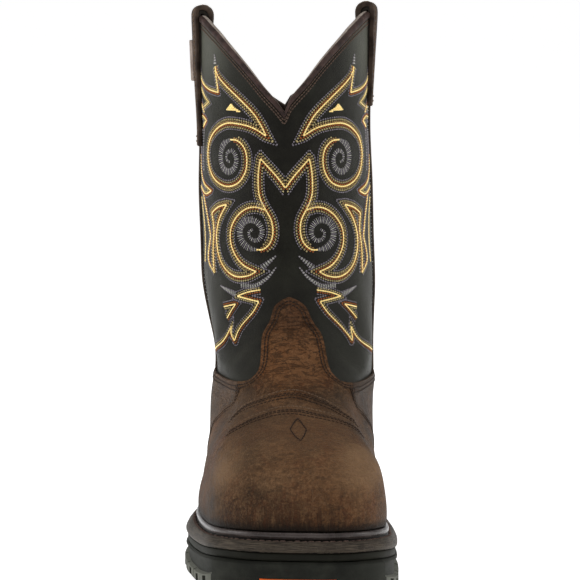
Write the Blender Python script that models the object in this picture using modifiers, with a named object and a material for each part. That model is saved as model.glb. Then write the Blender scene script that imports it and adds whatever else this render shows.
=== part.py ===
"""Western work boot, right foot, standing empty on its sole.

The toe points along -Y, the medial (big toe) side is +X and the floor is z = 0.
Tables and named sizes are in millimetres and degrees. "Reach" is the distance behind the sole's toe tip.
Angles run round the boot: 0 at the front, 90 on the medial side, 180 at the back, -90 on the lateral side.
"""
import math
from collections import namedtuple

import bmesh
import bpy
from mathutils import Vector

MM = 0.001

# Driving sizes of the boot
SOLE_LENGTH = 306.0
DIP_HEIGHT = 249.5
WALL = 2.4
OVERLAY = 1.6
GAP = 0.35
# Place of the sole's toe tip that puts the origin under the middle of the whole boot
TOE_TIP = Vector((0.76, -152.79, 0.0))

# Layers of the sole
WELT_THICK = 4.0
MIDSOLE_THICK = 4.5
LAYER_INSET = 0.8
LUG_DEPTH = 5.0
GROOVE_WIDTH = 6.5
BUMPER_END = 20.0
BUMPER_STEP = 0.8
INSERT_HALF_WIDTH = 20.0
INSERT_DEPTH = 11.0
INSERT_HEIGHT = 2.6

# Flank of the outsole: lugs at its foot, a recessed panel over them and a thin lip along its top
LUG_PROUD = 1.0
LUG_FLANK = 6.0
LUG_SHARE = 0.55
LUG_BEVEL_IN = 1.4
LUG_BEVEL_UP = 1.2
FLANK_RECESS = 2.4
FLANK_BEVEL = 0.6
LIP = 1.2

# Storm bead of the welt: section it reaches up the leather, width at its top and at its foot
BEAD_LEVEL = 0.6
BEAD_TOP = 3.0
BEAD_FOOT = 3.8
BEAD_FOOT_LEVEL = 0.34

# Collar binding and pull straps
BINDING = 1.0
BINDING_BAND = 2.6
STRAP = 2.6
STRAP_HALF_ANGLE = 13.2
STRAP_DROP = {"medial": 56.0, "lateral": 78.0}
TAB_THICK = 1.5
TAB_SHARES = (0.5, 0.28, 0.19)
TAB_HALF_ANGLE = 8.0
PIPING = 1.4
PIPING_HALF_ANGLE = 1.3
PIPING_STEPS = 8

# Shading is smooth over edges flatter than this, and columns of a net closer than this are made one
SMOOTH_ANGLE = 40.0
COLUMN_MERGE = 1.2

# Reach of the four stations at which every section states its half width
STATIONS = (30.0, 92.0, 185.0, 262.0)
# Sideways place of the foot's centre line and slant of its cross lines, at those stations
CENTRE_LINE = (3.8, 0.0, -0.8, 0.0)
SLANT = (0.06, 0.22, 0.08, 0.0)

# Height of the welt's top face along the sole: reach, height
SEAT_LINE = (
    (0.0, 35.8), (10.0, 34.8), (20.0, 33.2), (45.0, 28.6), (72.0, 24.8), (100.0, 23.0), (130.0, 23.4),
    (160.0, 26.0), (190.0, 30.4), (215.0, 34.6), (240.0, 38.4), (265.0, 41.2), (306.0, 43.0),
)
# Height of the tread, flat under the ball and under the heel: reach, height
SHANK_START = 150.0
SHANK_STEP = 154.0
BREAST_TOP = 222.0
BREAST_FOOT = 226.0
TREAD_LINE = (
    (0.0, 15.5), (12.0, 11.5), (28.0, 6.8), (48.0, 2.6), (72.0, 0.0), (134.0, 0.0), (SHANK_START, 1.6),
    (SHANK_STEP, 11.0), (180.0, 13.5), (205.0, 15.0), (BREAST_TOP, 16.0), (BREAST_FOOT, 0.0),
    (298.0, 0.0), (SOLE_LENGTH, 1.8),
)
# Grooves between the lugs: reach where each crosses the sole
FOREFOOT_GROOVES = (27.0, 45.0, 63.0, 81.0, 99.0, 117.0, 135.0)
HEEL_GROOVES = (244.0, 263.0, 282.0)

Section = namedtuple(
    "Section",
    "front front_z back back_z toe ball waist heel front_round back_round front_square back_square"
    " seat swing lean",
)
# The last and the shaft, from the feather edge up. front and back are reaches of a section's ends,
# toe to heel its half widths at the stations, round and square the length and fullness of its ends,
# seat how far it follows the sole's curve, swing how far the foot's centre line, lean its own shift.
UPPER = tuple(Section(*row) for row in (
    (10.0, 32.2, 297.0, 38.9, 45.0, 47.5, 36.5, 33.5, 62, 36, 3.0, 2.3, 1.00, 1.00, 0.0),
    (7.0, 46.0, 300.0, 54.0, 46.6, 49.8, 41.5, 37.5, 62, 38, 3.0, 2.3, 0.75, 1.00, 0.0),
    (8.5, 59.0, 300.5, 66.0, 45.2, 47.2, 44.6, 40.0, 60, 40, 3.0, 2.2, 0.50, 1.00, 0.3),
    (15.5, 69.5, 300.0, 75.0, 42.5, 43.0, 46.0, 41.5, 56, 42, 2.9, 2.2, 0.30, 1.00, 1.0),
    (28.0, 77.0, 299.0, 82.0, 38.0, 38.0, 46.2, 42.4, 52, 45, 2.7, 2.1, 0.20, 0.90, 1.3),
    (48.0, 82.8, 298.0, 88.0, 32.5, 33.0, 46.0, 43.0, 48, 48, 2.5, 2.1, 0.10, 0.80, 1.7),
    (70.0, 88.3, 297.0, 93.5, 27.5, 29.5, 45.8, 43.6, 48, 52, 2.4, 2.0, 0.05, 0.65, 2.3),
    (95.0, 97.5, 295.8, 99.5, 26.0, 28.0, 45.4, 44.0, 52, 56, 2.3, 2.0, 0.00, 0.50, 2.7),
    (120.0, 111.0, 294.3, 108.0, 26.0, 29.0, 46.2, 45.2, 60, 60, 2.2, 2.0, 0.00, 0.30, 2.2),
    (142.0, 129.0, 293.0, 122.0, 30.0, 34.0, 48.6, 48.0, 68, 62, 2.1, 2.0, 0.00, 0.10, 0.6),
    (157.0, 149.0, 292.5, 141.0, 42.0, 44.0, 50.8, 50.4, 68, 64, 2.0, 2.0, 0.00, 0.00, -1.1),
    (165.5, 174.0, 293.5, 166.0, 49.5, 50.0, 51.2, 51.2, 66, 64, 2.0, 2.0, 0.00, 0.00, -2.0),
    (168.5, 204.0, 295.5, 199.0, 50.5, 50.8, 51.2, 51.2, 64, 64, 2.0, 2.0, 0.00, 0.00, -2.9),
    (168.0, 249.0, 297.0, 247.0, 50.0, 50.0, 50.2, 50.2, 64, 65, 2.0, 2.0, 0.00, 0.00, -3.5),
    (166.5, 304.0, 297.5, 304.0, 50.7, 50.7, 50.9, 50.9, 65, 66, 2.0, 2.0, 0.00, 0.00, -3.6),
    (165.5, 334.0, 298.0, 334.0, 50.9, 50.9, 51.1, 51.1, 66, 66, 2.0, 2.0, 0.00, 0.00, -3.7),
))

# Outline of the welt's ledge, which the layers of the sole share
SOLE = Section(0.0, 0.0, SOLE_LENGTH, 0.0, 52.5, 58.5, 43.0, 40.5, 66, 42, 3.0, 2.4, 1.0, 1.0, 0.0)

# Lower edge of the shaft: over the vamp's tongue-like peak, then along the counter's top: angle, height
SEAM_ANGLE = 45.0
SHAFT_FOOT = (
    (0.0, 144.0), (5.0, 142.0), (10.0, 138.5), (13.5, 131.5), (20.0, 123.0), (24.0, 109.0), (27.0, 105.0),
    (36.0, 100.5), (SEAM_ANGLE, 99.0), (70.0, 97.5), (100.0, 96.0), (130.0, 99.0), (155.0, 106.0),
    (180.0, 115.0),
)
# Seam between vamp and counter: share of the way from the welt up to the shaft's lower edge, angle
SIDE_SEAM = ((0.0, 92.0), (0.5, 81.0), (0.71, 67.0), (0.88, 52.0), (1.0, SEAM_ANGLE))
LEAN_POWER = 1.5
# Collar from the middle of the front to the ear, and from the middle of the back: angle, height over the
# front's dip. The medial side stands higher, by a lift that starts at the dip
FRONT_COLLAR = (
    (0.0, 0.0), (5.0, 5.7), (15.4, 15.7), (26.2, 26.6), (41.5, 39.0), (54.6, 47.2), (72.0, 53.5), (90.0, 55.6),
)
BACK_COLLAR = (
    (0.0, -2.7), (10.0, 3.0), (20.0, 11.0), (30.0, 20.0), (45.0, 33.0), (60.0, 44.0), (75.0, 52.5), (90.0, 55.6),
)
MEDIAL_LIFT = ((0.0, 0.0), (4.0, 3.4), (50.0, 3.4), (90.0, 2.2))
# Pull strap's outer face outside the shaft: share of its drop, distance out from the shaft's face
STRAP_BOW = ((0.12, 5.1), (0.28, 4.7), (0.5, 4.0), (0.78, 3.3), (1.0, 3.0))
# The same over the ear and down inside: distance out from the shaft's face, height above the ear
STRAP_LOOP = (
    (5.2, 0.0), (4.5, 3.2), (2.4, 5.3), (-0.6, 6.0), (-3.6, 5.3), (-6.0, 3.2), (-7.0, 0.0), (-6.6, -5.0),
    (-5.8, -12.0), (-5.6, -20.0), (-5.6, -40.0),
)

# Rows of the net that the leather pieces share: -1 feather edge, 0 bead, 1 shaft's lower edge, 2 collar
FOOT_ROWS = (0.0, 0.09, 0.18, 0.29, 0.40, 0.52, 0.64, 0.76, 0.88, 1.0)
SHAFT_ROWS = (1.12, 1.25, 1.38, 1.51, 1.64, 1.76, 1.88, 2.0)
# Runs of columns on one side of the net: first angle, last angle, number
COLUMN_RUNS = ((0.0, SEAM_ANGLE, 13), (SEAM_ANGLE, 130.0, 6), (130.0, 180.0, 7))


def between(table, place):
    """The second column of a table at this place in its first, on straight runs between rows."""
    for (low, first), (high, last) in zip(table, table[1:]):
        if place <= high:
            return first + (last - first) * max(place - low, 0.0) / (high - low)
    return table[-1][1]


def smooth(table, place):
    """As between, on a curve through the rows that never swings past them."""
    slopes = [(b[1] - a[1]) / (b[0] - a[0]) for a, b in zip(table, table[1:])]
    leans = [slopes[0]]
    for before, after in zip(slopes, slopes[1:]):
        leans.append(0.0 if before * after <= 0 else 2 * before * after / (before + after))
    leans.append(slopes[-1])
    index = max(i for i in range(len(table) - 1) if place >= table[i][0] or i == 0)
    run = table[index + 1][0] - table[index][0]
    rise = table[index + 1][1] - table[index][1]
    part = min(max((place - table[index][0]) / run, 0.0), 1.0)
    first, last = leans[index] * run, leans[index + 1] * run
    bow = part * (1 - part) * ((1 - part) * (first - rise) - part * (last - rise))
    return table[index][1] + rise * part + bow


def along_foot(values, reach):
    """A value stated at the four stations, eased from one station to the next."""
    if reach <= STATIONS[0]:
        return values[0]
    for low, high, first, last in zip(STATIONS, STATIONS[1:], values, values[1:]):
        if reach <= high:
            part = (reach - low) / (high - low)
            return first + (last - first) * part * part * (3 - 2 * part)
    return values[-1]


def rounded_end(run, length, square):
    """Share of the full half width at this run from a rounded end."""
    if run >= length:
        return 1.0
    return (1 - (1 - max(run, 0.0) / length) ** square) ** (1 / square)


def section_at(place):
    """Every column of the upper's sections at a place between two rows, on a curve through them."""
    low = min(max(int(place), 0), len(UPPER) - 2)
    part = place - low
    rows = [UPPER[min(max(low + step, 0), len(UPPER) - 1)] for step in (-1, 0, 1, 2)]
    values = []
    for before, first, last, after in zip(*rows):
        bend = 2 * before - 5 * first + 4 * last - after + part * (3 * (first - last) + after - before)
        values.append(first + 0.5 * part * (last - before + part * bend))
    return Section(*values)


def ring_point(section, angle):
    """Point of a section at an angle round the boot."""
    turn = math.radians(angle)
    share = (1 - math.cos(turn)) / 2
    length = section.back - section.front
    reach = section.front + share * length
    half = along_foot(section[4:8], reach)
    half *= rounded_end(share * length, section.front_round, section.front_square)
    half *= rounded_end((1 - share) * length, section.back_round, section.back_square)
    aside = math.copysign(half, math.sin(turn))
    slant = section.swing * along_foot(SLANT, reach)
    middle = section.swing * along_foot(CENTRE_LINE, reach) + section.lean
    chord = between((SEAT_LINE[0], SEAT_LINE[-1]), reach)
    curve = section.seat * (smooth(SEAT_LINE, reach) - chord)
    height = section.front_z + (section.back_z - section.front_z) * share + curve
    return TOE_TIP + Vector((middle + aside, reach - slant * aside, height))


def skin(angle, level, out=0.0):
    """Point of the upper's outer face at an angle and section, moved out square to the face."""
    point = ring_point(section_at(level), angle)
    if not out:
        return point
    step, rise = 1.0, 0.04
    around = ring_point(section_at(level), angle + step) - ring_point(section_at(level), angle - step)
    above = ring_point(section_at(level + rise), angle)
    up = above - ring_point(section_at(max(level - rise, 0.0)), angle)
    return point + around.cross(up).normalized() * out


def level_at(angle, height):
    """The section at which the upper's face reaches a height."""
    low, high = 0.0, len(UPPER) - 1.0
    while high - low > 1e-6:
        middle = (low + high) / 2
        if skin(angle, middle).z < height:
            low = middle
        else:
            high = middle
    return low


def collar_height(angle):
    """Height of the collar: a dip at the front, a wider one at the back, and an ear at each side."""
    aside = abs(angle)
    from_dip = min(aside, 180 - aside)
    table = FRONT_COLLAR if aside <= 90 else BACK_COLLAR
    lift = between(MEDIAL_LIFT, from_dip) if angle > 0 else 0.0
    return DIP_HEIGHT + smooth(table, from_dip) + lift


def net(angle, row):
    """Angle and section of a crossing in the net. Below the shaft its columns lean with the side seam."""
    aside = abs(angle)
    seam = between(SIDE_SEAM, row)
    if aside <= SEAM_ANGLE:
        leaned = aside + (seam - SEAM_ANGLE) * (aside / SEAM_ANGLE) ** LEAN_POWER
    else:
        leaned = seam + (aside - SEAM_ANGLE) * (180 - seam) / (180 - SEAM_ANGLE)
    foot = level_at(aside, smooth(SHAFT_FOOT, aside))
    if row < 0:
        level = BEAD_LEVEL * (1 + row)
    elif row <= 1:
        level = BEAD_LEVEL + (foot - BEAD_LEVEL) * row
    else:
        level = foot + (level_at(angle, collar_height(angle)) - foot) * (row - 1)
    return math.copysign(leaned, angle), level


def side_angles():
    """Angles of the net's columns on the medial side, front to back."""
    angles = [0.0]
    for first, last, number in COLUMN_RUNS:
        angles += [first + (last - first) * (step + 1) / number for step in range(number)]
    return angles


def round_angles(side):
    """The angles of a side, and the same on the other side, once round the boot."""
    return side + [-angle for angle in reversed(side[1:-1])]


def material(name, colour, roughness):
    made = bpy.data.materials.new(name)
    made.use_nodes = True
    shader = made.node_tree.nodes["Principled BSDF"]
    shader.inputs["Base Color"].default_value = (*colour, 1.0)
    shader.inputs["Roughness"].default_value = roughness
    return made


def mesh_object(name, collection, points, faces, finish=None):
    """A named object from points in millimetres and their faces."""
    mesh = bpy.data.meshes.new(name)
    mesh.from_pydata([point * MM for point in points], [], faces)
    mesh.shade_smooth()
    mesh.set_sharp_from_angle(angle=math.radians(SMOOTH_ANGLE))
    if finish:
        mesh.materials.append(finish)
    made = bpy.data.objects.new(name, mesh)
    collection.objects.link(made)
    return made


def turn_faces_out(made):
    shape = bmesh.new()
    shape.from_mesh(made.data)
    bmesh.ops.recalc_face_normals(shape, faces=shape.faces)
    shape.to_mesh(made.data)
    shape.free()


def loft_faces(rows, count, closed):
    """Quads between neighbouring rows of count points each, joined round where closed."""
    faces = []
    for row in range(rows - 1):
        for column in range(count if closed else count - 1):
            after = (column + 1) % count
            low, high = row * count, (row + 1) * count
            faces.append((low + column, low + after, high + after, high + column))
    return faces


def shell(name, rows, closed, thickness, finish):
    """A loft through rows of points as an open surface, thickened inwards."""
    count = len(rows[0])
    points = [point for row in rows for point in row]
    made = mesh_object(name, PARTS, points, loft_faces(len(rows), count, closed), finish)
    wall = made.modifiers.new("Wall", "SOLIDIFY")
    wall.thickness = thickness * MM
    wall.offset = -1.0
    wall.use_even_offset = True
    wall.use_quality_normals = True
    return made


def band(name, rings, finish):
    """A closed hoop whose cross-section has one corner on each ring."""
    count = len(rings[0])
    points = [point for ring in rings for point in ring]
    faces = loft_faces(len(rings) + 1, count, True)
    wrapped = [tuple(corner % len(points) for corner in face) for face in faces]
    made = mesh_object(name, PARTS, points, wrapped, finish)
    turn_faces_out(made)
    return made


def stack(name, collection, rings, finish=None):
    """A solid through rings from bottom to top, closed below and above by strips from side to side."""
    count = len(rings[0])
    points = [point for ring in rings for point in ring]
    faces = loft_faces(len(rings), count, True)
    for base in (0, count * (len(rings) - 1)):
        for step in range(count // 2):
            corners = (step, step + 1, count - step - 1, (count - step) % count)
            faces.append(tuple(base + corner for corner in dict.fromkeys(corners)))
    made = mesh_object(name, collection, points, faces, finish)
    turn_faces_out(made)
    return made


def box(name, collection, low, high):
    """A box between two corners in millimetres."""
    bpy.ops.mesh.primitive_cube_add(size=1.0)
    made = bpy.context.object
    made.name = name
    for corner in made.data.vertices:
        corner.co = Vector([MM * (b if side > 0 else a) for a, b, side in zip(low, high, corner.co)])
    for old in made.users_collection:
        old.objects.unlink(made)
    collection.objects.link(made)
    return made


def boolean(target, cutter, operation):
    """Cut the target with a cutter, or keep what the two share."""
    cut = target.modifiers.new(cutter.name, "BOOLEAN")
    cut.object = cutter
    cut.operation = operation
    cutter.hide_render = True
    cutter.display_type = "WIRE"


def seat(reach, above=0.0):
    """Height of the welt's top face."""
    return smooth(SEAT_LINE, reach) + above


def sole_reach(angle):
    """Reach of the sole's outline at an angle."""
    return SOLE_LENGTH * (1 - math.cos(math.radians(angle))) / 2


def sole_ring(angles, inset, height):
    """A ring of the sole's outline. inset and height are functions of the reach."""
    ring = []
    for angle in angles:
        reach = sole_reach(angle)
        by = inset(reach)
        halves = {key: getattr(SOLE, key) - by for key in ("toe", "ball", "waist", "heel")}
        point = ring_point(SOLE._replace(front=by, back=SOLE_LENGTH - by, **halves), angle)
        point.z = height(reach)
        ring.append(point)
    return ring


def sole_angles(reaches=()):
    """Angles of the leather net at its lowest row, with a column at each reach where the sole steps."""
    side = [net(angle, -1.0)[0] for angle in side_angles()]
    for reach in reaches:
        angle = math.degrees(math.acos(1 - 2 * reach / SOLE_LENGTH))
        nearest = min(side[1:-1], key=lambda known: abs(known - angle))
        if abs(nearest - angle) < COLUMN_MERGE:
            side.remove(nearest)
        side.append(angle)
    return round_angles(sorted(side))


def make_upper():
    """Shaft, lining and covered foot as one wall, open at the collar and over the insole."""
    rows = []
    for row in (-1.0,) + FOOT_ROWS + SHAFT_ROWS:
        rows.append([skin(*net(angle, row)) for angle in round_angles(side_angles())])
    shell("upper", rows, True, WALL, BLACK_LEATHER)


def overlay_rows(angles):
    """Rows of an overlay's outer face, from the welt's bead up to the shaft's lower edge."""
    rows = []
    for row in FOOT_ROWS:
        places = [net(angle, row) for angle in angles]
        lift = GAP / (UPPER[1].front_z - UPPER[0].front_z) if row == 0 else 0.0
        rows.append([skin(angle, level + lift, GAP + OVERLAY) for angle, level in places])
    return rows


def make_overlays():
    """Vamp and counter, laid over the upper from the bead to the shaft's lower edge."""
    side = side_angles()
    front = [angle for angle in side if angle <= SEAM_ANGLE]
    rear = [angle for angle in side if angle >= SEAM_ANGLE]
    vamp = [-angle for angle in reversed(front[1:])] + front
    counter = rear + [-angle for angle in reversed(rear[:-1])]
    shell("vamp", overlay_rows(vamp), False, OVERLAY, BROWN_LEATHER)
    # The counter stops short of the vamp by the gap between pieces
    rows = overlay_rows(counter)
    for row in rows:
        row[0] += (row[1] - row[0]).normalized() * GAP
        row[-1] += (row[-2] - row[-1]).normalized() * GAP
    shell("counter", rows, False, OVERLAY, COUNTER_LEATHER)


def make_insole():
    """The insole board, which closes the upper underneath."""
    angles = [net(angle, -1.0)[0] for angle in round_angles(side_angles())]
    inset = -(WALL + GAP)
    top = WELT_THICK / (UPPER[1].front_z - UPPER[0].front_z)
    rings = [[skin(angle, level, inset) for angle in angles] for level in (0.0, top)]
    stack("insole", PARTS, rings, LINING_LEATHER)


def make_welt():
    """A flat ledge round the foot, with a raised bead against the leather."""
    angles = sole_angles()
    bead = (
        (0.0, GAP), (BEAD_LEVEL, GAP), (BEAD_LEVEL, GAP + BEAD_TOP), (BEAD_FOOT_LEVEL, GAP + BEAD_FOOT),
    )
    rings = [[skin(angle, level, out) for angle in angles] for level, out in bead]
    rings.append(sole_ring(angles, lambda reach: 0.0, seat))
    rings.append(sole_ring(angles, lambda reach: 0.0, lambda reach: seat(reach, -WELT_THICK)))
    band("welt", rings, WELT_LEATHER)


def make_midsole():
    """The layer between the welt and the outsole."""
    angles = sole_angles()
    top = -(WELT_THICK + GAP)
    rings = [
        sole_ring(angles, lambda reach: LAYER_INSET, lambda reach: seat(reach, -WELT_THICK - MIDSOLE_THICK)),
        sole_ring(angles, lambda reach: LAYER_INSET, lambda reach: seat(reach, top)),
    ]
    stack("midsole", PARTS, rings, BLACK_RUBBER)


def outsole_rings(angles):
    """Bevelled lugs at the foot of the flank, a recessed panel above them and a lip at the top."""
    def top(reach):
        return seat(reach, -WELT_THICK - MIDSOLE_THICK - GAP)

    def tread(reach):
        return between(TREAD_LINE, reach)

    def lug_top(reach):
        return tread(reach) + min(LUG_FLANK, LUG_SHARE * (top(reach) - tread(reach)))

    def flank(recess):
        return lambda reach: -LUG_PROUD if reach < BUMPER_END else recess - LUG_PROUD

    return [
        sole_ring(angles, flank(LUG_BEVEL_IN), tread),
        sole_ring(angles, flank(0.0), lambda reach: tread(reach) + LUG_BEVEL_UP),
        sole_ring(angles, flank(0.0), lug_top),
        sole_ring(angles, flank(FLANK_RECESS), lambda reach: lug_top(reach) + FLANK_BEVEL),
        sole_ring(angles, flank(FLANK_RECESS), lambda reach: top(reach) - LIP - FLANK_BEVEL),
        sole_ring(angles, flank(LAYER_INSET), lambda reach: top(reach) - LIP),
        sole_ring(angles, lambda reach: LAYER_INSET, top),
    ]


def groove_box(name, reach, half_width):
    """A cutter across the sole, as deep as a lug, square to the tread and lined up with the slant."""
    half = GROOVE_WIDTH / 2
    slope = (between(TREAD_LINE, reach + half) - between(TREAD_LINE, reach - half)) / GROOVE_WIDTH
    made = box(name, CUTTERS, (-half_width, -half, -3 * LUG_DEPTH), (half_width, half, LUG_DEPTH))
    middle = along_foot(CENTRE_LINE, reach)
    made.location = (TOE_TIP + Vector((middle, reach, between(TREAD_LINE, reach)))) * MM
    made.rotation_euler = (math.atan(slope), 0.0, -math.atan(along_foot(SLANT, reach)))
    return made


def make_outsole():
    """The lugged rubber sole with its heel, and the coloured insert let into its toe."""
    bumper = (BUMPER_END - BUMPER_STEP / 2, BUMPER_END + BUMPER_STEP / 2)
    steps = bumper + (SHANK_START, SHANK_STEP, BREAST_TOP, BREAST_FOOT)
    rings = outsole_rings(sole_angles(steps))
    outsole = stack("outsole", PARTS, rings, BLACK_RUBBER)
    for number, reach in enumerate(FOREFOOT_GROOVES + HEEL_GROOVES):
        boolean(outsole, groove_box(f"groove_{number}", reach, SOLE_LENGTH / 4), "DIFFERENCE")

    insert = stack("toe_insert", PARTS, rings, ORANGE_RUBBER)
    front = TOE_TIP.y - 5 * LUG_PROUD
    middle = TOE_TIP.x + CENTRE_LINE[0]
    top = between(TREAD_LINE, 0.0) + INSERT_HEIGHT
    pocket_half = INSERT_HALF_WIDTH + GAP
    pocket = box(
        "insert_pocket", CUTTERS,
        (middle - pocket_half, front, 0.0),
        (middle + pocket_half, front + 5 * LUG_PROUD + INSERT_DEPTH + GAP, top + GAP),
    )
    keep = box(
        "insert_keep", CUTTERS,
        (middle - INSERT_HALF_WIDTH, front, 0.0),
        (middle + INSERT_HALF_WIDTH, front + 5 * LUG_PROUD + INSERT_DEPTH, top),
    )
    boolean(outsole, pocket, "DIFFERENCE")
    boolean(insert, keep, "INTERSECT")


def make_binding():
    """Leather folded over the collar's edge, outside and inside."""
    inner = -(WALL + GAP)
    corners = (
        (GAP, -BINDING_BAND), (GAP + BINDING, -BINDING_BAND), (GAP + BINDING, GAP + BINDING),
        (inner - BINDING, GAP + BINDING), (inner - BINDING, -BINDING_BAND), (inner, -BINDING_BAND),
        (inner, GAP), (GAP, GAP),
    )
    rings = []
    for out, above in corners:
        ring = []
        for angle in round_angles(side_angles()):
            ring.append(skin(angle, level_at(angle, collar_height(angle) + above), out))
        rings.append(ring)
    band("collar_binding", rings, BINDING_LEATHER)


def strip(name, middle, half_angle, path, thickness, finish, columns=3):
    """A band up the side of the shaft along a path of places out from its face and heights."""
    rows = []
    for out, height in path:
        row = []
        for column in range(columns + 1):
            angle = middle + half_angle * (2 * column / columns - 1)
            row.append(skin(angle, level_at(angle, height), out))
        rows.append(row)
    shell(name, rows, False, thickness, finish)


def make_straps():
    """Pull straps bowed over the ears, the piping below them and the plain tab on the lateral one."""
    for side, middle in (("medial", 90.0), ("lateral", -90.0)):
        ear, drop = collar_height(middle), STRAP_DROP[side]
        path = [(out, ear - share * drop) for share, out in reversed(STRAP_BOW)]
        path += [(out, ear + above) for out, above in STRAP_LOOP]
        strip(f"strap_{side}", middle, STRAP_HALF_ANGLE, path, STRAP, STRAP_LEATHER)
        foot = smooth(SHAFT_FOOT, 90.0) + GAP
        head = ear - drop - GAP
        heights = [foot + (head - foot) * step / PIPING_STEPS for step in range(PIPING_STEPS + 1)]
        piping = [(GAP + PIPING, height) for height in heights]
        strip(f"piping_{side}", middle, PIPING_HALF_ANGLE, piping, PIPING, BINDING_LEATHER, 2)
    lift = GAP + TAB_THICK
    ear, drop = collar_height(-90.0), STRAP_DROP["lateral"]
    tab = [(between(STRAP_BOW, share) + lift, ear - share * drop) for share in TAB_SHARES]
    strip("strap_tab", -90.0, TAB_HALF_ANGLE, tab, TAB_THICK, STRAP_LEATHER, 3)


for old in list(bpy.data.objects):
    bpy.data.objects.remove(old)

PARTS = bpy.data.collections.new("western_work_boot")
CUTTERS = bpy.data.collections.new("cutters")
for made_collection in (PARTS, CUTTERS):
    bpy.context.scene.collection.children.link(made_collection)

BLACK_LEATHER = material("black leather", (0.012, 0.011, 0.011), 0.45)
BROWN_LEATHER = material("brown oiled leather", (0.075, 0.035, 0.018), 0.5)
COUNTER_LEATHER = material("brown counter leather", (0.085, 0.042, 0.022), 0.5)
STRAP_LEATHER = material("strap leather", (0.10, 0.055, 0.03), 0.55)
BINDING_LEATHER = material("binding leather", (0.12, 0.07, 0.045), 0.5)
LINING_LEATHER = material("lining leather", (0.20, 0.11, 0.07), 0.7)
WELT_LEATHER = material("dark welt leather", (0.035, 0.022, 0.016), 0.55)
BLACK_RUBBER = material("black rubber", (0.018, 0.018, 0.018), 0.75)
ORANGE_RUBBER = material("orange rubber", (0.75, 0.14, 0.03), 0.6)

make_upper()
make_overlays()
make_insole()
make_welt()
make_midsole()
make_outsole()
make_binding()
make_straps()
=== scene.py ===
"""Looks of a western work boot, right foot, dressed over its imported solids.

The toe points along -Y, the medial side is +X and the floor is z = 0. Tables and named sizes are in
millimetres and degrees. "Reach" is the distance behind the sole's toe tip. Angles run round the boot:
0 at the front, 90 on the medial side, 180 at the back, -90 on the lateral side.
"""
import math

import bpy
import numpy as np
from mathutils import Euler, Matrix, Vector


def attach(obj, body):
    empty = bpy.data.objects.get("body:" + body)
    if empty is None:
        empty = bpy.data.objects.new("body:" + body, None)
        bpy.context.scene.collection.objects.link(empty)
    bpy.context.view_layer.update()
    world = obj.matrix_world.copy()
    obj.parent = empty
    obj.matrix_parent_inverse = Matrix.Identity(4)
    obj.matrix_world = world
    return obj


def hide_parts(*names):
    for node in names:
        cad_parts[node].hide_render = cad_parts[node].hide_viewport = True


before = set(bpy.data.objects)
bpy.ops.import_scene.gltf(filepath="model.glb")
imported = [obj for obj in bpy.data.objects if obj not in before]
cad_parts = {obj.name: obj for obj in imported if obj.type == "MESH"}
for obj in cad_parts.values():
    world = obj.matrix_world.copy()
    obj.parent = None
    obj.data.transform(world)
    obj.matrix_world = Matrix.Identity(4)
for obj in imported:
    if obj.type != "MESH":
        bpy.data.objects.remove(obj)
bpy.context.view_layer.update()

MM = 0.001

# Driving sizes, the same as the solids have
SOLE_LENGTH = 306.0
DIP_HEIGHT = 249.5
WALL = 2.4
OVERLAY = 1.6
GAP = 0.35
SEAM_GAP = 0.3
TOE_TIP = np.array((0.76, -152.79, 0.0))
WELT_THICK = 4.0
MIDSOLE_THICK = 4.5
LAYER_INSET = 0.8
BINDING = 1.0
BINDING_BAND = 2.6
BINDING_CROWN = 1.9
STRAP = 2.6
STRAP_HALF_ANGLE = 13.2
# Drop of a pull strap outside the shaft, from the ear to its foot
STRAP_DROP = {"medial": 56.0, "lateral": 78.0}
TAB_THICK = 1.5
TAB_SHARES = (0.5, 0.28, 0.19)
TAB_HALF_ANGLE = 8.0
PIPING = 1.4
PIPING_HALF_ANGLE = 1.3

STATIONS = (30.0, 92.0, 185.0, 262.0)
CENTRE_LINE = (3.8, 0.0, -0.8, 0.0)
SLANT = (0.06, 0.22, 0.08, 0.0)

# Height of the welt's top face along the sole: reach, height
SEAT_LINE = (
    (0.0, 35.8), (10.0, 34.8), (20.0, 33.2), (45.0, 28.6), (72.0, 24.8), (100.0, 23.0), (130.0, 23.4),
    (160.0, 26.0), (190.0, 30.4), (215.0, 34.6), (240.0, 38.4), (265.0, 41.2), (306.0, 43.0),
)
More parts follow.
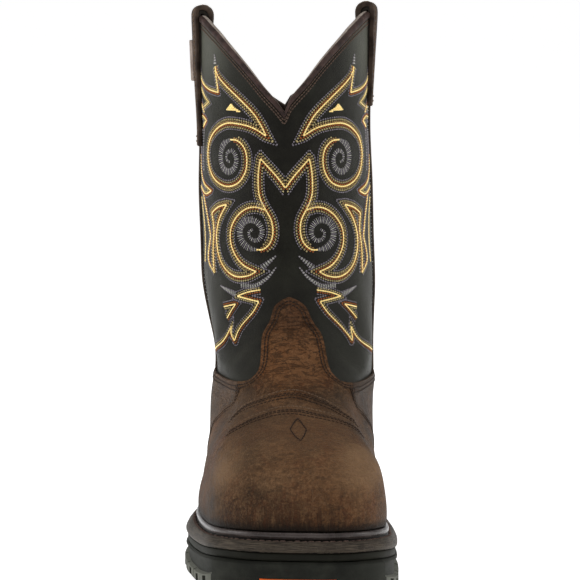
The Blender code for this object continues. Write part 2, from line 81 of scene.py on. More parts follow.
# The last and the shaft from the feather edge up: reach and height of a section's front end and back end,
# its half widths at the four stations, length and fullness of its rounded ends, share of the sole's curve
# and of the foot's centre line that it follows, and its own shift sideways
FRONT, FRONT_Z, BACK, BACK_Z, TOE, HEEL = 0, 1, 2, 3, 4, 7
FRONT_ROUND, BACK_ROUND, FRONT_SQUARE, BACK_SQUARE, SEAT, SWING, LEAN = range(8, 15)
UPPER = np.array((
    (10.0, 32.2, 297.0, 38.9, 45.0, 47.5, 36.5, 33.5, 62, 36, 3.0, 2.3, 1.00, 1.00, 0.0),
    (7.0, 46.0, 300.0, 54.0, 46.6, 49.8, 41.5, 37.5, 62, 38, 3.0, 2.3, 0.75, 1.00, 0.0),
    (8.5, 59.0, 300.5, 66.0, 45.2, 47.2, 44.6, 40.0, 60, 40, 3.0, 2.2, 0.50, 1.00, 0.3),
    (15.5, 69.5, 300.0, 75.0, 42.5, 43.0, 46.0, 41.5, 56, 42, 2.9, 2.2, 0.30, 1.00, 1.0),
    (28.0, 77.0, 299.0, 82.0, 38.0, 38.0, 46.2, 42.4, 52, 45, 2.7, 2.1, 0.20, 0.90, 1.3),
    (48.0, 82.8, 298.0, 88.0, 32.5, 33.0, 46.0, 43.0, 48, 48, 2.5, 2.1, 0.10, 0.80, 1.7),
    (70.0, 88.3, 297.0, 93.5, 27.5, 29.5, 45.8, 43.6, 48, 52, 2.4, 2.0, 0.05, 0.65, 2.3),
    (95.0, 97.5, 295.8, 99.5, 26.0, 28.0, 45.4, 44.0, 52, 56, 2.3, 2.0, 0.00, 0.50, 2.7),
    (120.0, 111.0, 294.3, 108.0, 26.0, 29.0, 46.2, 45.2, 60, 60, 2.2, 2.0, 0.00, 0.30, 2.2),
    (142.0, 129.0, 293.0, 122.0, 30.0, 34.0, 48.6, 48.0, 68, 62, 2.1, 2.0, 0.00, 0.10, 0.6),
    (157.0, 149.0, 292.5, 141.0, 42.0, 44.0, 50.8, 50.4, 68, 64, 2.0, 2.0, 0.00, 0.00, -1.1),
    (165.5, 174.0, 293.5, 166.0, 49.5, 50.0, 51.2, 51.2, 66, 64, 2.0, 2.0, 0.00, 0.00, -2.0),
    (168.5, 204.0, 295.5, 199.0, 50.5, 50.8, 51.2, 51.2, 64, 64, 2.0, 2.0, 0.00, 0.00, -2.9),
    (168.0, 249.0, 297.0, 247.0, 50.0, 50.0, 50.2, 50.2, 64, 65, 2.0, 2.0, 0.00, 0.00, -3.5),
    (166.5, 304.0, 297.5, 304.0, 50.7, 50.7, 50.9, 50.9, 65, 66, 2.0, 2.0, 0.00, 0.00, -3.6),
    (165.5, 334.0, 298.0, 334.0, 50.9, 50.9, 51.1, 51.1, 66, 66, 2.0, 2.0, 0.00, 0.00, -3.7),
), dtype=float)
# Outline of the welt's ledge, which the layers of the sole share
SOLE = np.array((0, 0, SOLE_LENGTH, 0, 52.5, 58.5, 43.0, 40.5, 66, 42, 3.0, 2.4, 1, 1, 0), dtype=float)

# Underside of the tread along the sole: reach, height
TREAD_LINE = (
    (0.0, 15.5), (12.0, 11.5), (28.0, 6.8), (48.0, 2.6), (72.0, 0.0), (134.0, 0.0), (150.0, 1.6),
    (154.0, 11.0), (180.0, 13.5), (205.0, 15.0), (222.0, 16.0), (226.0, 0.0), (298.0, 0.0), (306.0, 1.8),
)
TREAD_STEPS = (150.0, 154.0, 222.0, 226.0)
FOREFOOT_GROOVES = (27.0, 45.0, 63.0, 81.0, 99.0, 117.0, 135.0)
HEEL_GROOVES = (244.0, 263.0, 282.0)
GROOVE_WIDTH = 6.5
GROOVE_DEPTH = 5.0
SIPE_WIDTH = 1.0
LUG_PROUD = 1.0
LUG_FLANK = 6.0
LUG_SHARE = 0.55
LUG_BEVEL_IN = 1.4
LUG_BEVEL_UP = 1.2
FLANK_RECESS = 2.4
FLANK_BEVEL = 0.6
LIP = 1.2
# Thin cuts in the lug band: reach, distance of their middle from the foot's centre line
FLANK_SIPES = tuple(
    (reach, side * 56.0) for reach in (54.0, 72.0, 90.0, 108.0, 126.0) for side in (-1, 1)
) + tuple((reach, side * 46.0) for reach in (235.0, 253.5, 272.5) for side in (-1, 1))
# Where the toe bumper ends on the medial and on the lateral side
BUMPER_END = 19.0
LATERAL_BUMPER = 18.0
BUMPER_STEP = 0.8
INSERT_HALF_WIDTH = 20.0
INSERT_DEPTH = 11.0
INSERT_HEIGHT = 2.6

# Lower edge of the shaft over the vamp's peak and along the counter: angle, height
SEAM_ANGLE = 45.0
SHAFT_FOOT = (
    (0.0, 144.0), (5.0, 142.0), (10.0, 138.5), (13.5, 131.5), (20.0, 123.0), (24.0, 109.0), (27.0, 105.0),
    (36.0, 100.5), (SEAM_ANGLE, 99.0), (70.0, 97.5), (100.0, 96.0), (130.0, 99.0), (155.0, 106.0),
    (180.0, 115.0),
)
# Seam between vamp and counter: share of the way up from the welt, angle
SIDE_SEAM = ((0.0, 92.0), (0.5, 81.0), (0.71, 67.0), (0.88, 52.0), (1.0, SEAM_ANGLE))
LEAN_POWER = 1.5
# Collar from the middle of the front, and of the back, to the ear: angle, height over the front's dip
FRONT_COLLAR = (
    (0.0, 0.0), (5.0, 5.7), (15.4, 15.7), (26.2, 26.6), (41.5, 39.0), (54.6, 47.2), (72.0, 53.5),
    (90.0, 55.6),
)
BACK_COLLAR = (
    (0.0, -2.7), (10.0, 3.0), (20.0, 11.0), (30.0, 20.0), (45.0, 33.0), (60.0, 44.0), (75.0, 52.5),
    (90.0, 55.6),
)
MEDIAL_LIFT = ((0.0, 0.0), (4.0, 3.4), (50.0, 3.4), (90.0, 2.2))
# Section at which the storm bead ends and the leather pieces start
BEAD_LEVEL = 0.6
# Pull strap outside the shaft: share of its drop, distance of its outer face from the shaft's face
STRAP_BOW = ((0.12, 5.1), (0.28, 4.7), (0.5, 4.0), (0.78, 3.3), (1.0, 3.0))
# The same over the ear and down inside: distance out, height above the ear
STRAP_LOOP = (
    (5.2, 0.0), (4.5, 3.2), (2.4, 5.3), (-0.6, 6.0), (-3.6, 5.3), (-6.0, 3.2), (-7.0, 0.0), (-6.6, -5.0),
    (-5.8, -12.0), (-5.6, -20.0), (-5.6, -40.0),
)

# Soft folds of the leather: angle and height of both ends, sag of the middle, depth,
# half width. A negative depth is a ridge
FOLDS = (
    # across the break over the instep
    (-17, 124, 16, 122, -5, 0.9, 3.4),
    (-13, 131, 15, 130, 3, 0.7, 2.6),
    (-19, 113, 20, 114, -4, -0.7, 4.0),
    (-10, 118, 12, 117, 3, 0.6, 2.4),
    # down the medial side of the ankle
    (24, 128, 62, 104, 5, 1.3, 6.0),
    (20, 142, 74, 118, 6, 1.2, 7.0),
    (30, 158, 88, 139, 5, 0.8, 8.0),
    (26, 134, 66, 111, 5, -0.9, 5.0),
    # down the lateral side of the ankle
    (-24, 130, -66, 106, 5, 1.3, 6.0),
    (-22, 146, -80, 121, 6, 1.2, 7.0),
    (-34, 160, -92, 143, 5, 0.8, 8.0),
    (-27, 137, -70, 113, 5, -0.9, 5.0),
    # behind the heel, where the shaft sinks on the counter
    (150, 126, 210, 125, -6, 1.0, 6.0),
    (158, 140, 205, 141, 5, 0.7, 7.0),
    # low folds of the flex point, on both sides of the ball
    (62, 66, 74, 40, 2, 0.8, 5.0),
    (-62, 64, -74, 40, 2, 0.8, 5.0),
)


def between(table, place):
    """The second column of a table at these places in its first, on straight runs between rows."""
    places, values = np.array(table, dtype=float).T
    return np.interp(place, places, values)


def smooth(table, place):
    """As between, on a curve through the rows that never swings past them."""
    places, values = np.array(table, dtype=float).T
    place = np.clip(place, places[0], places[-1])
    slopes = np.diff(values) / np.diff(places)
    product = slopes[1:] * slopes[:-1]
    total = np.where(product > 0, slopes[1:] + slopes[:-1], 1.0)
    eased = np.where(product > 0, 2 * product / total, 0.0)
    leans = np.concatenate(([slopes[0]], eased, [slopes[-1]]))
    index = np.clip(np.searchsorted(places, place, side="right") - 1, 0, len(places) - 2)
    run = places[index + 1] - places[index]
    rise = values[index + 1] - values[index]
    part = (place - places[index]) / run
    first, last = leans[index] * run, leans[index + 1] * run
    bow = part * (1 - part) * ((1 - part) * (first - rise) - part * (last - rise))
    return values[index] + rise * part + bow


def along_foot(values, reach):
    """A value stated at the four stations, eased from one station to the next."""
    result = values[0] + 0.0 * reach
    for low, high, first, last in zip(STATIONS, STATIONS[1:], values, values[1:]):
        part = np.clip((reach - low) / (high - low), 0, 1)
        result = result + (last - first) * part * part * (3 - 2 * part)
    return result


def between_rows(before, first, last, after, part):
    """A place part of the way from first to last, on a curve that also minds the rows outside them."""
    bend = 2 * before - 5 * first + 4 * last - after + part * (3 * (first - last) + after - before)
    return first + 0.5 * part * (last - before + part * bend)


def unit(vectors):
    """The direction of each row of vectors."""
    return vectors / np.maximum(np.linalg.norm(vectors, axis=1, keepdims=True), 1e-9)


def rounded_end(run, length, square):
    """Share of the full half width at this run from a rounded end."""
    part = np.clip(run / length, 0, 1)
    return (1 - (1 - part) ** square) ** (1 / square)


def sections_at(level):
    """Every column of the upper's sections at places between two rows, on a curve through them."""
    last_row = len(UPPER) - 1
    low = np.clip(np.asarray(level).astype(int), 0, last_row - 1)
    part = (level - low)[:, None]
    rows = (UPPER[np.clip(low + step, 0, last_row)] for step in (-1, 0, 1, 2))
    return between_rows(*rows, part).T


def ring_points(section, angle):
    """Points of sections at angles round the boot, one row of x, y and z for each."""
    turn = np.radians(angle)
    share = (1 - np.cos(turn)) / 2
    length = section[BACK] - section[FRONT]
    reach = section[FRONT] + share * length
    half = along_foot(section[TOE:HEEL + 1], reach)
    half = half * rounded_end(share * length, section[FRONT_ROUND], section[FRONT_SQUARE])
    half = half * rounded_end((1 - share) * length, section[BACK_ROUND], section[BACK_SQUARE])
    aside = np.copysign(half, np.sin(turn))
    slant = section[SWING] * along_foot(SLANT, reach)
    middle = section[SWING] * along_foot(CENTRE_LINE, reach) + section[LEAN]
    chord = between((SEAT_LINE[0], SEAT_LINE[-1]), reach)
    curve = section[SEAT] * (smooth(SEAT_LINE, reach) - chord)
    height = section[FRONT_Z] + (section[BACK_Z] - section[FRONT_Z]) * share + curve
    return TOE_TIP + np.stack((middle + aside, reach - slant * aside, height), axis=1)


def last_face(angle, level):
    """Points of the upper's smooth outer face and the directions out of it."""
    step, rise = 1.0, 0.04
    points = ring_points(sections_at(level), angle)
    around = ring_points(sections_at(level), angle + step) - ring_points(sections_at(level), angle - step)
    up = ring_points(sections_at(level + rise), angle)
    up = up - ring_points(sections_at(np.maximum(level - rise, 0.0)), angle)
    return points, unit(np.cross(around, up))


def level_at(angle, height):
    """The sections at which the upper's face reaches these heights."""
    angle, height = np.broadcast_arrays(np.asarray(angle, float), np.asarray(height, float))
    low, high = np.zeros(len(angle)), np.full(len(angle), len(UPPER) - 1.0)
    for halving in range(24):
        middle = (low + high) / 2
        under = ring_points(sections_at(middle), angle)[:, 2] < height
        low, high = np.where(under, middle, low), np.where(under, high, middle)
    return low


def collar_height(angle):
    """Height of the collar: a dip at the front, a wider one at the back, and an ear at each side."""
    angle = np.asarray(angle, float)
    aside = np.abs(angle)
    from_dip = np.minimum(aside, 180 - aside)
    rise = np.where(aside <= 90, smooth(FRONT_COLLAR, from_dip), smooth(BACK_COLLAR, from_dip))
    return DIP_HEIGHT + rise + np.where(angle > 0, between(MEDIAL_LIFT, from_dip), 0.0)


def net(angle, row):
    """Angle and section of crossings in the net of the leather pieces: row -1 is the feather edge, 0 the
    bead, 1 the shaft's lower edge and 2 the collar."""
    aside = np.abs(angle)
    seam = between(SIDE_SEAM, row)
    front = aside + (seam - SEAM_ANGLE) * (aside / SEAM_ANGLE) ** LEAN_POWER
    rear = seam + (aside - SEAM_ANGLE) * (180 - seam) / (180 - SEAM_ANGLE)
    leaned = np.where(aside <= SEAM_ANGLE, front, rear)
    foot = level_at(aside, smooth(SHAFT_FOOT, aside))
    collar = level_at(angle, collar_height(angle))
    level = np.where(row < 0, BEAD_LEVEL * (1 + row), BEAD_LEVEL + (foot - BEAD_LEVEL) * row)
    level = np.where(row > 1, foot + (collar - foot) * (row - 1), level)
    return np.copysign(leaned, angle), level


def fold_tracks():
    """Each fold's track over the leather as points in space, with its depth and half width."""
    tracks = []
    for start, start_z, end, end_z, sag, depth, width in FOLDS:
        share = np.linspace(0, 1, 41)
        angle = start + (end - start) * share
        height = start_z + (end_z - start_z) * share - sag * 4 * share * (1 - share)
        points = ring_points(sections_at(level_at(angle, height)), angle)
        tracks.append((points, np.sin(np.pi * share), depth, width))
    return tracks


TRACKS = fold_tracks()


def relief(points):
    """Height of the leather's own folds over the last, in millimetres: listed folds and a faint roll."""
    x, y, z = points.T
    height = 0.28 * np.sin(z / 13 + x / 17) * np.sin(y / 19 + z / 37)
    for track, strength, depth, width in TRACKS:
        reach = np.linalg.norm(points[:, None, :] - track[None, :, :], axis=2)
        near = reach.argmin(axis=1)
        dip = np.exp(-(reach[np.arange(len(points)), near] / width) ** 2)
        height -= depth * strength[near] * dip
    return height


def face(angle, level, out=0.0):
    """Points at a distance out from the folded leather face, and the directions out of it."""
    angle, level = np.broadcast_arrays(np.asarray(angle, float), np.asarray(level, float))
    points, normals = last_face(angle, level)
    lift = np.broadcast_to(out, len(points)) + relief(points)
    return points + normals * lift[:, None], normals


# Length of the shaft's face round from the middle of the front, for placing its decoration
WRAP_HEIGHTS = np.linspace(96, 308, 28)
WRAP_ANGLES = np.linspace(0, 180, 121)


def wrap_table():
    """Distance round the shaft to each of the angles, one row for each height."""
    rows = []
    for height in WRAP_HEIGHTS:
        points = ring_points(sections_at(level_at(WRAP_ANGLES, height)), WRAP_ANGLES)
        steps = np.linalg.norm(np.diff(points, axis=0), axis=1)
        rows.append(np.concatenate(([0.0], np.cumsum(steps))))
    return np.array(rows)


WRAP = wrap_table()


def wrap_angle(across, height, rear=False):
    """Angle at a distance round the shaft from the middle of the front, or of the back, at a height."""
    place = np.clip((height - WRAP_HEIGHTS[0]) / (WRAP_HEIGHTS[1] - WRAP_HEIGHTS[0]), 0, len(WRAP) - 1.001)
    low = place.astype(int)
    part = place - low
    angles = np.empty(len(across))
    for index in range(len(across)):
        row = WRAP[low[index]] * (1 - part[index]) + WRAP[low[index] + 1] * part[index]
        round_shaft = row[-1] - abs(across[index]) if rear else abs(across[index])
        angles[index] = np.interp(round_shaft, row, WRAP_ANGLES)
    return np.copysign(angles, across)


class Signal:
    """A number over a surface: a shader socket whose operators add their Math nodes."""

    def __init__(self, shader, socket):
        self.shader = shader
        self.socket = socket

    def math(self, operation, *values):
        return self.shader.node("ShaderNodeMath", {"operation": operation}, dict(enumerate(values)))

    def __add__(self, other):
        return self.math("ADD", self, other)

    def __sub__(self, other):
        return self.math("SUBTRACT", self, other)

    def __rsub__(self, other):
        return self.math("SUBTRACT", other, self)

    def __mul__(self, other):
        return self.math("MULTIPLY", self, other)

    def __truediv__(self, other):
        return self.math("DIVIDE", self, other)

    def __pow__(self, other):
        return self.math("POWER", self, other)

    __radd__ = __add__
    __rmul__ = __mul__

    def ramp(self, low, high):
        """0 under low, 1 over high and eased between them."""
        settings = {"interpolation_type": "SMOOTHSTEP"}
        return self.shader.node(
            "ShaderNodeMapRange", settings, {"Value": self, "From Min": low, "From Max": high}
        )

    def band(self, low, full, fading, gone):
        """1 from full to fading, 0 under low and over gone, and eased between them."""
        return self.ramp(low, full) * (1 - self.ramp(fading, gone))


class Shader:
    """A material under construction, with its Principled shader and the piece's own coordinates."""

    def __init__(self, name):
        self.material = bpy.data.materials.new(name)
        self.material.use_nodes = True
        self.tree = self.material.node_tree
        self.surface = self.tree.nodes["Principled BSDF"]
        self.place = self.node("ShaderNodeTexCoord", {}, {}, "Object")

    def node(self, kind, settings, inputs, output=0):
        """Add a node, set its settings, then set or link its inputs, and return one of its outputs."""
        made = self.tree.nodes.new(kind)
        for name, value in settings.items():
            setattr(made, name, value)
        for key, value in inputs.items():
            self.feed(made.inputs[key], value)
        return Signal(self, made.outputs[output])

    def feed(self, socket, value):
        if isinstance(value, Signal):
            self.tree.links.new(value.socket, socket)
        else:
            socket.default_value = value

    def paint(self, colour, *layers):
        """A colour with others laid over it in turn. A layer is a mask and the colour that it lets through,
        and a colour is a triple or the result of another painting."""
        settings = {"data_type": "RGBA", "clamp_factor": True}
        for mask, tone in layers:
            inputs = {0: mask, 6: self.rgba(colour), 7: self.rgba(tone)}
            colour = self.node("ShaderNodeMix", settings, inputs, 2)
        return colour

    def rgba(self, colour):
        return colour if isinstance(colour, Signal) else (*colour, 1.0)

    def scaled(self, size, stretch=(1, 1, 1)):
        """The piece's own coordinates, with a step of 1 in each of these sizes in millimetres."""
        scale = tuple(share / (size * MM) for share in stretch)
        return self.node("ShaderNodeMapping", {}, {"Vector": self.place, "Scale": scale})

    def noise(self, size, detail=3.0, roughness=0.55, stretch=(1, 1, 1), twist=0.0):
        """Cloudy noise about 0.5, whose patches are about this size in millimetres."""
        inputs = {"Vector": self.scaled(size, stretch), "Scale": 1.0, "Detail": detail}
        return self.node("ShaderNodeTexNoise", {}, {**inputs, "Roughness": roughness, "Distortion": twist})

    def cells(self, size, feature="DISTANCE_TO_EDGE", stretch=(1, 1, 1)):
        """Cells about this size in millimetres: 0 on their borders, or at their middles with F1."""
        inputs = {"Vector": self.scaled(size, stretch), "Scale": 1.0}
        return self.node("ShaderNodeTexVoronoi", {"feature": feature}, inputs)

    def strands(self, size, count):
        """Noise in streaks along a hoop, size millimetres long and count of them across its section."""
        lift = self.node("ShaderNodeCombineXYZ", {}, {"Z": self.attribute("up") * count})
        vector = self.node("ShaderNodeVectorMath", {"operation": "ADD"}, {0: self.scaled(size), 1: lift})
        return self.node("ShaderNodeTexNoise", {}, {"Vector": vector, "Scale": 1.0, "Detail": 3.0})

    def attribute(self, name):
        """A number that the piece's own points carry."""
        return self.node("ShaderNodeAttribute", {"attribute_name": name}, {}, "Fac")

    def axis(self, name):
        """One of the piece's own coordinates in millimetres."""
        parts = self.node("ShaderNodeSeparateXYZ", {}, {0: self.place}, name)
        return parts * (1 / MM)

    def outward(self, half):
        """Square of the distance from the boot's middle plane, 1 at half, in millimetres."""
        aside = self.axis("X")
        return aside * aside * (1 / (half * half))

    def finish(self, colour, roughness, height=None, depth=0.3, coat=0.0, sheen=0.0, gloss=0.3):
        """Feed the surface. depth is the height of the relief in millimetres."""
        inputs = {
            "Base Color": self.rgba(colour), "Roughness": roughness, "Specular IOR Level": gloss,
            "Coat Weight": coat, "Coat Roughness": 0.3, "Sheen Weight": sheen, "Sheen Roughness": 0.4,
            "Sheen Tint": (0.92, 0.93, 0.78, 1.0),
        }
        if height is not None:
            bump = {"Strength": 1.0, "Distance": depth * MM, "Height": height}
            inputs["Normal"] = self.node("ShaderNodeBump", {}, bump)
        for name, value in inputs.items():
            self.feed(self.surface.inputs[name], value)
        return self.material


def black_leather():
    """Smooth black shaft leather: tight grain, olive bloom, a painted sheen that pales the ears towards the
    sides, and a soft sheen.
    """
    shader = Shader("black shaft leather")
    bloom = shader.noise(46, detail=4).ramp(0.42, 0.72)
    cloud = shader.noise(9, detail=4).ramp(0.3, 0.75)
    # Painted sheen: high up and towards the sides the leather is paled to olive grey, as glancing light shows
    # it
    painted_ear_sheen = shader.axis("Z").ramp(245, 288) * shader.outward(47.0).ramp(0.3, 1.0)
    colour = shader.paint(
        (0.0042, 0.0036, 0.0022),
        (cloud, (0.0085, 0.0078, 0.0050)),
        (bloom * 0.45, (0.017, 0.0175, 0.012)),
        (painted_ear_sheen * 0.85, (0.062, 0.063, 0.050)),
    )
    grain = shader.cells(0.95).ramp(0.0, 0.16)
    pores = shader.cells(0.55, "F1").ramp(0.0, 0.5)
    wrinkle = shader.noise(3.2, detail=5, roughness=0.62, twist=0.6)
    height = grain * 0.45 + pores * 0.15 + wrinkle * 1.1
    roughness = 0.38 + shader.noise(14) * 0.2 + grain * -0.03
    return shader.finish(colour, roughness, height, 0.16, gloss=0.09, sheen=0.09)


def lining_leather():
    """Unfinished reddish-brown lining: dry nap and faint stains."""
    shader = Shader("reddish lining leather")
    stain = shader.noise(30, detail=4).ramp(0.35, 0.7)
    nap = shader.noise(0.8, roughness=0.7)
    colour = shader.paint(
        (0.105, 0.042, 0.026), (stain, (0.17, 0.078, 0.048)), (nap.ramp(0.3, 0.7) * 0.35, (0.22, 0.12, 0.08)),
    )
    return shader.finish(colour, 0.82, nap, 0.12, sheen=0.15)


def creases(shader, size, stretch):
    """Thin wandering wrinkle lines: 1 on a line and 0 away from it."""
    path = shader.noise(size, detail=4, roughness=0.62, stretch=stretch, twist=1.1) - 0.5
    return 1 - (path * path).ramp(0.0, 0.0011)


def oiled_hide(shader, dark, warm, worn, rust):
    """Oiled pull-up leather: warm and worn clouds, rusty streaks, specks, wrinkles and small scars. Returns
    its colour, its relief and its roughness."""
    broad = shader.noise(58, roughness=0.5).ramp(0.36, 0.66)
    patch = shader.noise(17, detail=6, roughness=0.68, twist=0.5).ramp(0.38, 0.66)
    speck = shader.noise(2.4, detail=5, roughness=0.72)
    fine = shader.noise(1.2, roughness=0.7)
    wrinkle = shader.noise(4.6, detail=6, roughness=0.68, stretch=(0.75, 1.0, 1.25), twist=1.3)
    streak = shader.noise(13, detail=5, roughness=0.66, stretch=(1.0, 0.6, 0.28), twist=0.9)
    scar = shader.cells(8.5, stretch=(1.0, 0.7, 0.42)).ramp(0.0, 0.028)
    scarred = (1 - scar) * shader.noise(7, detail=2).ramp(0.52, 0.66)
    colour = shader.paint(
        dark,
        (broad * 0.75, warm),
        (patch * 0.3, worn),
        (streak.ramp(0.48, 0.68) * 0.55, rust),
        # Painted shade in the troughs of the wrinkles
        ((1 - wrinkle.ramp(0.34, 0.54)) * 0.5, dark),
        (speck.ramp(0.46, 0.74) * 0.36, worn),
        ((1 - speck.ramp(0.28, 0.52)) * 0.5, dark),
        (fine.ramp(0.50, 0.72) * 0.2, worn),
        ((1 - fine.ramp(0.28, 0.48)) * 0.35, dark),
        (scarred * 0.3, worn),
    )
    grain = shader.cells(1.5, stretch=(1, 1, 0.8)).ramp(0.0, 0.2)
    pores = shader.cells(0.7, "F1").ramp(0.0, 0.45)
    height = grain * 0.35 + pores * 0.16 + wrinkle * 2.4 + speck * 0.8 - scarred * 0.5
    return colour, height, 0.44 + patch * 0.1 + speck * 0.2


def welt_shadow(shader):
    """A layer of painted shade along the bottom edge of the leather, where it meets the bead, with the dark
    oil and wax that gather there.
    """
    return (1 - shader.attribute("up").ramp(0.0, 0.045)) * 0.85, (0.004, 0.0025, 0.0015)


def vamp_leather():
    """Oiled vamp leather. Its peak is redder, the instep warm and the flex dull. The crown of the toe is
    rubbed pale and painted with a highlight, strongest at the sides. Towards the welt dark oil runs up in
    fine streaks, and painted shade darkens the foot of the leather."""
    shader = Shader("brown oiled vamp leather")
    dark, rust = (0.014, 0.0068, 0.0024), (0.080, 0.022, 0.0055)
    warm, worn = (0.122, 0.051, 0.0170), (0.21, 0.122, 0.062)
    colour, height, roughness = oiled_hide(shader, dark, warm, worn, rust)
    level = shader.axis("Z") + (shader.noise(24, detail=4, roughness=0.6) * 14 - 7)
    instep = level.band(96, 108, 118, 134) * (1 - shader.outward(28.8675).ramp(0.2, 1.2))
    side = shader.outward(30.0).ramp(0.25, 1.5)
    # Crown of the toe: rubbed pale, and a painted highlight that grows towards the sides
    crown = level.band(54, 70, 76, 86) * (1 - shader.axis("Y").ramp(-118, -86))
    # Towards the welt: dark oil, and painted shade
    low = 1 - level.ramp(40, 70)
    streak = shader.noise(2.3, detail=4, roughness=0.66, stretch=(1.0, 0.8, 0.15), twist=0.6)
    # Crease lines, sunk in the relief and darkened with painted shade
    lines = creases(shader, 6.5, (0.55, 1.0, 1.7)) * (0.25 + level.ramp(88, 112) * 0.75) * (1 - low * 0.8)
    colour = shader.paint(
        colour,
        (level.ramp(118, 138) * 0.6, (0.048, 0.018, 0.007)),
        (instep * 0.5, (0.150, 0.060, 0.020)),
        (level.band(77, 84, 92, 102) * 0.45, (0.080, 0.046, 0.025)),
        # Wear and painted highlight on the crown of the toe
        (crown * (0.12 + side * 0.6), worn),
        # Dark oil in fine streaks with painted shade towards the welt, lighter at the sides
        (low * (0.3 + streak.ramp(0.43, 0.57) * 0.68) * (1 - side * 0.55), dark),
        (low * streak.ramp(0.50, 0.66) * 0.4 * (1 - side), rust),
        # Painted shade along the foot of the leather, over the welt
        ((1 - level.ramp(33, 50)) * 0.6, (0.010, 0.0045, 0.0018)),
        # Painted shade in the creases
        (lines * 0.55, dark),
        welt_shadow(shader),
    )
    return shader.finish(colour, roughness, height - lines * 1.1, 0.55, gloss=0.1)


def counter_leather():
    """Counter leather: greyer and duller than the vamp, and darker towards the welt."""
    shader = Shader("grey brown counter leather")
    dark, rust = (0.020, 0.012, 0.007), (0.060, 0.026, 0.012)
    warm, worn = (0.090, 0.047, 0.025), (0.165, 0.108, 0.068)
    colour, height, roughness = oiled_hide(shader, dark, warm, worn, rust)
    level = shader.axis("Z") + shader.noise(20, detail=4) * 12 - 6
    # Crease lines, sunk in the relief and darkened with painted shade
    lines = creases(shader, 7.5, (0.6, 0.6, 1.5)) * 0.6
    low = 1 - level.ramp(38, 60)
    # Painted shade in the creases and over the bead, and darker towards the welt
    colour = shader.paint(colour, (low * 0.6, dark), (lines * 0.6, dark), welt_shadow(shader))
    return shader.finish(colour, roughness, height - lines, 0.55, gloss=0.12)


def plain_leather(name, dark, light, size=9.0, rough=0.5, grain_size=0.9, coat=0.0):
    """Small leather goods: two tones, fine grain and slightly rubbed specks."""
    shader = Shader(name)
    cloud = shader.noise(size, detail=5, roughness=0.6).ramp(0.32, 0.7)
    speck = shader.noise(1.3, roughness=0.7)
    rubbed = tuple(min(1.0, 1.7 * tone) for tone in light)
    colour = shader.paint(dark, (cloud, light), (speck.ramp(0.55, 0.8) * 0.35, rubbed))
    height = shader.cells(grain_size).ramp(0.0, 0.2) * 0.5 + speck
    return shader.finish(colour, rough + speck * 0.12, height, 0.16, coat=coat, gloss=0.15)


def welt_leather():
    """Waxed storm welt: dark brown, with lengthwise streaks rubbed pale, and painted shade in its groove and
    up to the bead.
    """
    shader = Shader("waxed welt leather")
    cloud = shader.noise(7, detail=5, roughness=0.6).ramp(0.3, 0.72)
    fibre = shader.noise(1.1, detail=4, roughness=0.7)
    streak = shader.strands(9.0, 75.0)
    colour = shader.paint(
        (0.014, 0.010, 0.0065),
        (cloud, (0.034, 0.026, 0.019)),
        (streak.ramp(0.46, 0.62) * 0.7, (0.080, 0.063, 0.044)),
        ((1 - streak.ramp(0.3, 0.44)) * 0.7, (0.007, 0.005, 0.003)),
        (fibre.ramp(0.5, 0.7) * 0.3, (0.10, 0.085, 0.066)),
        # Painted shade in the stitch groove and on the slope up to the bead
        (shader.attribute("up").ramp(0.345, 0.385) * 0.92, (0.0035, 0.0025, 0.0015)),
    )
    return shader.finish(colour, 0.42 + fibre * 0.2, streak * 1.5 + fibre * 0.5, 0.3, gloss=0.12)


def rubber(name, dark, dusty, size=16.0, rough=0.6):
    """Moulded rubber: even dark body, dusty bloom, paler towards the sides, and a fine mould texture."""
    shader = Shader(name)
    dust = shader.noise(size, detail=5, roughness=0.62).ramp(0.4, 0.75)
    fine = shader.noise(0.7, roughness=0.6)
    scuff = shader.noise(5, detail=6, roughness=0.7, stretch=(0.5, 0.5, 2.2))
    masks = (dust * 0.6, fine.ramp(0.55, 0.8) * 0.2, shader.outward(46.0).ramp(0.3, 1.2) * 0.5)
    colour = shader.paint(dark, *((mask, dusty) for mask in masks))
    return shader.finish(colour, rough + scuff * 0.22, fine * 0.5 + scuff * 0.6, 0.12, gloss=0.12)


def thread(name, colour, shade, rough=0.55, gloss=0.1):
    """Sewing thread with a faint twist."""
    shader = Shader(name)
    twist = shader.noise(0.55, detail=2, roughness=0.5)
    tone = shader.paint(shade, (twist.ramp(0.35, 0.65), colour))
    return shader.finish(tone, rough, twist, 0.1, gloss=gloss)


def pick(piece):
    """Make a piece the only selected and active object."""
    bpy.ops.object.select_all(action="DESELECT")
    piece.select_set(True)
    bpy.context.view_layer.objects.active = piece


def merge_seams(piece):
    """Join the vertices that meet where a grid closes on itself."""
    pick(piece)
    bpy.ops.object.mode_set(mode="EDIT")
    bpy.ops.mesh.select_all(action="SELECT")
    bpy.ops.mesh.remove_doubles(threshold=0.01 * MM)
    bpy.ops.mesh.dissolve_degenerate(threshold=0.001 * MM)
    bpy.ops.object.mode_set(mode="OBJECT")


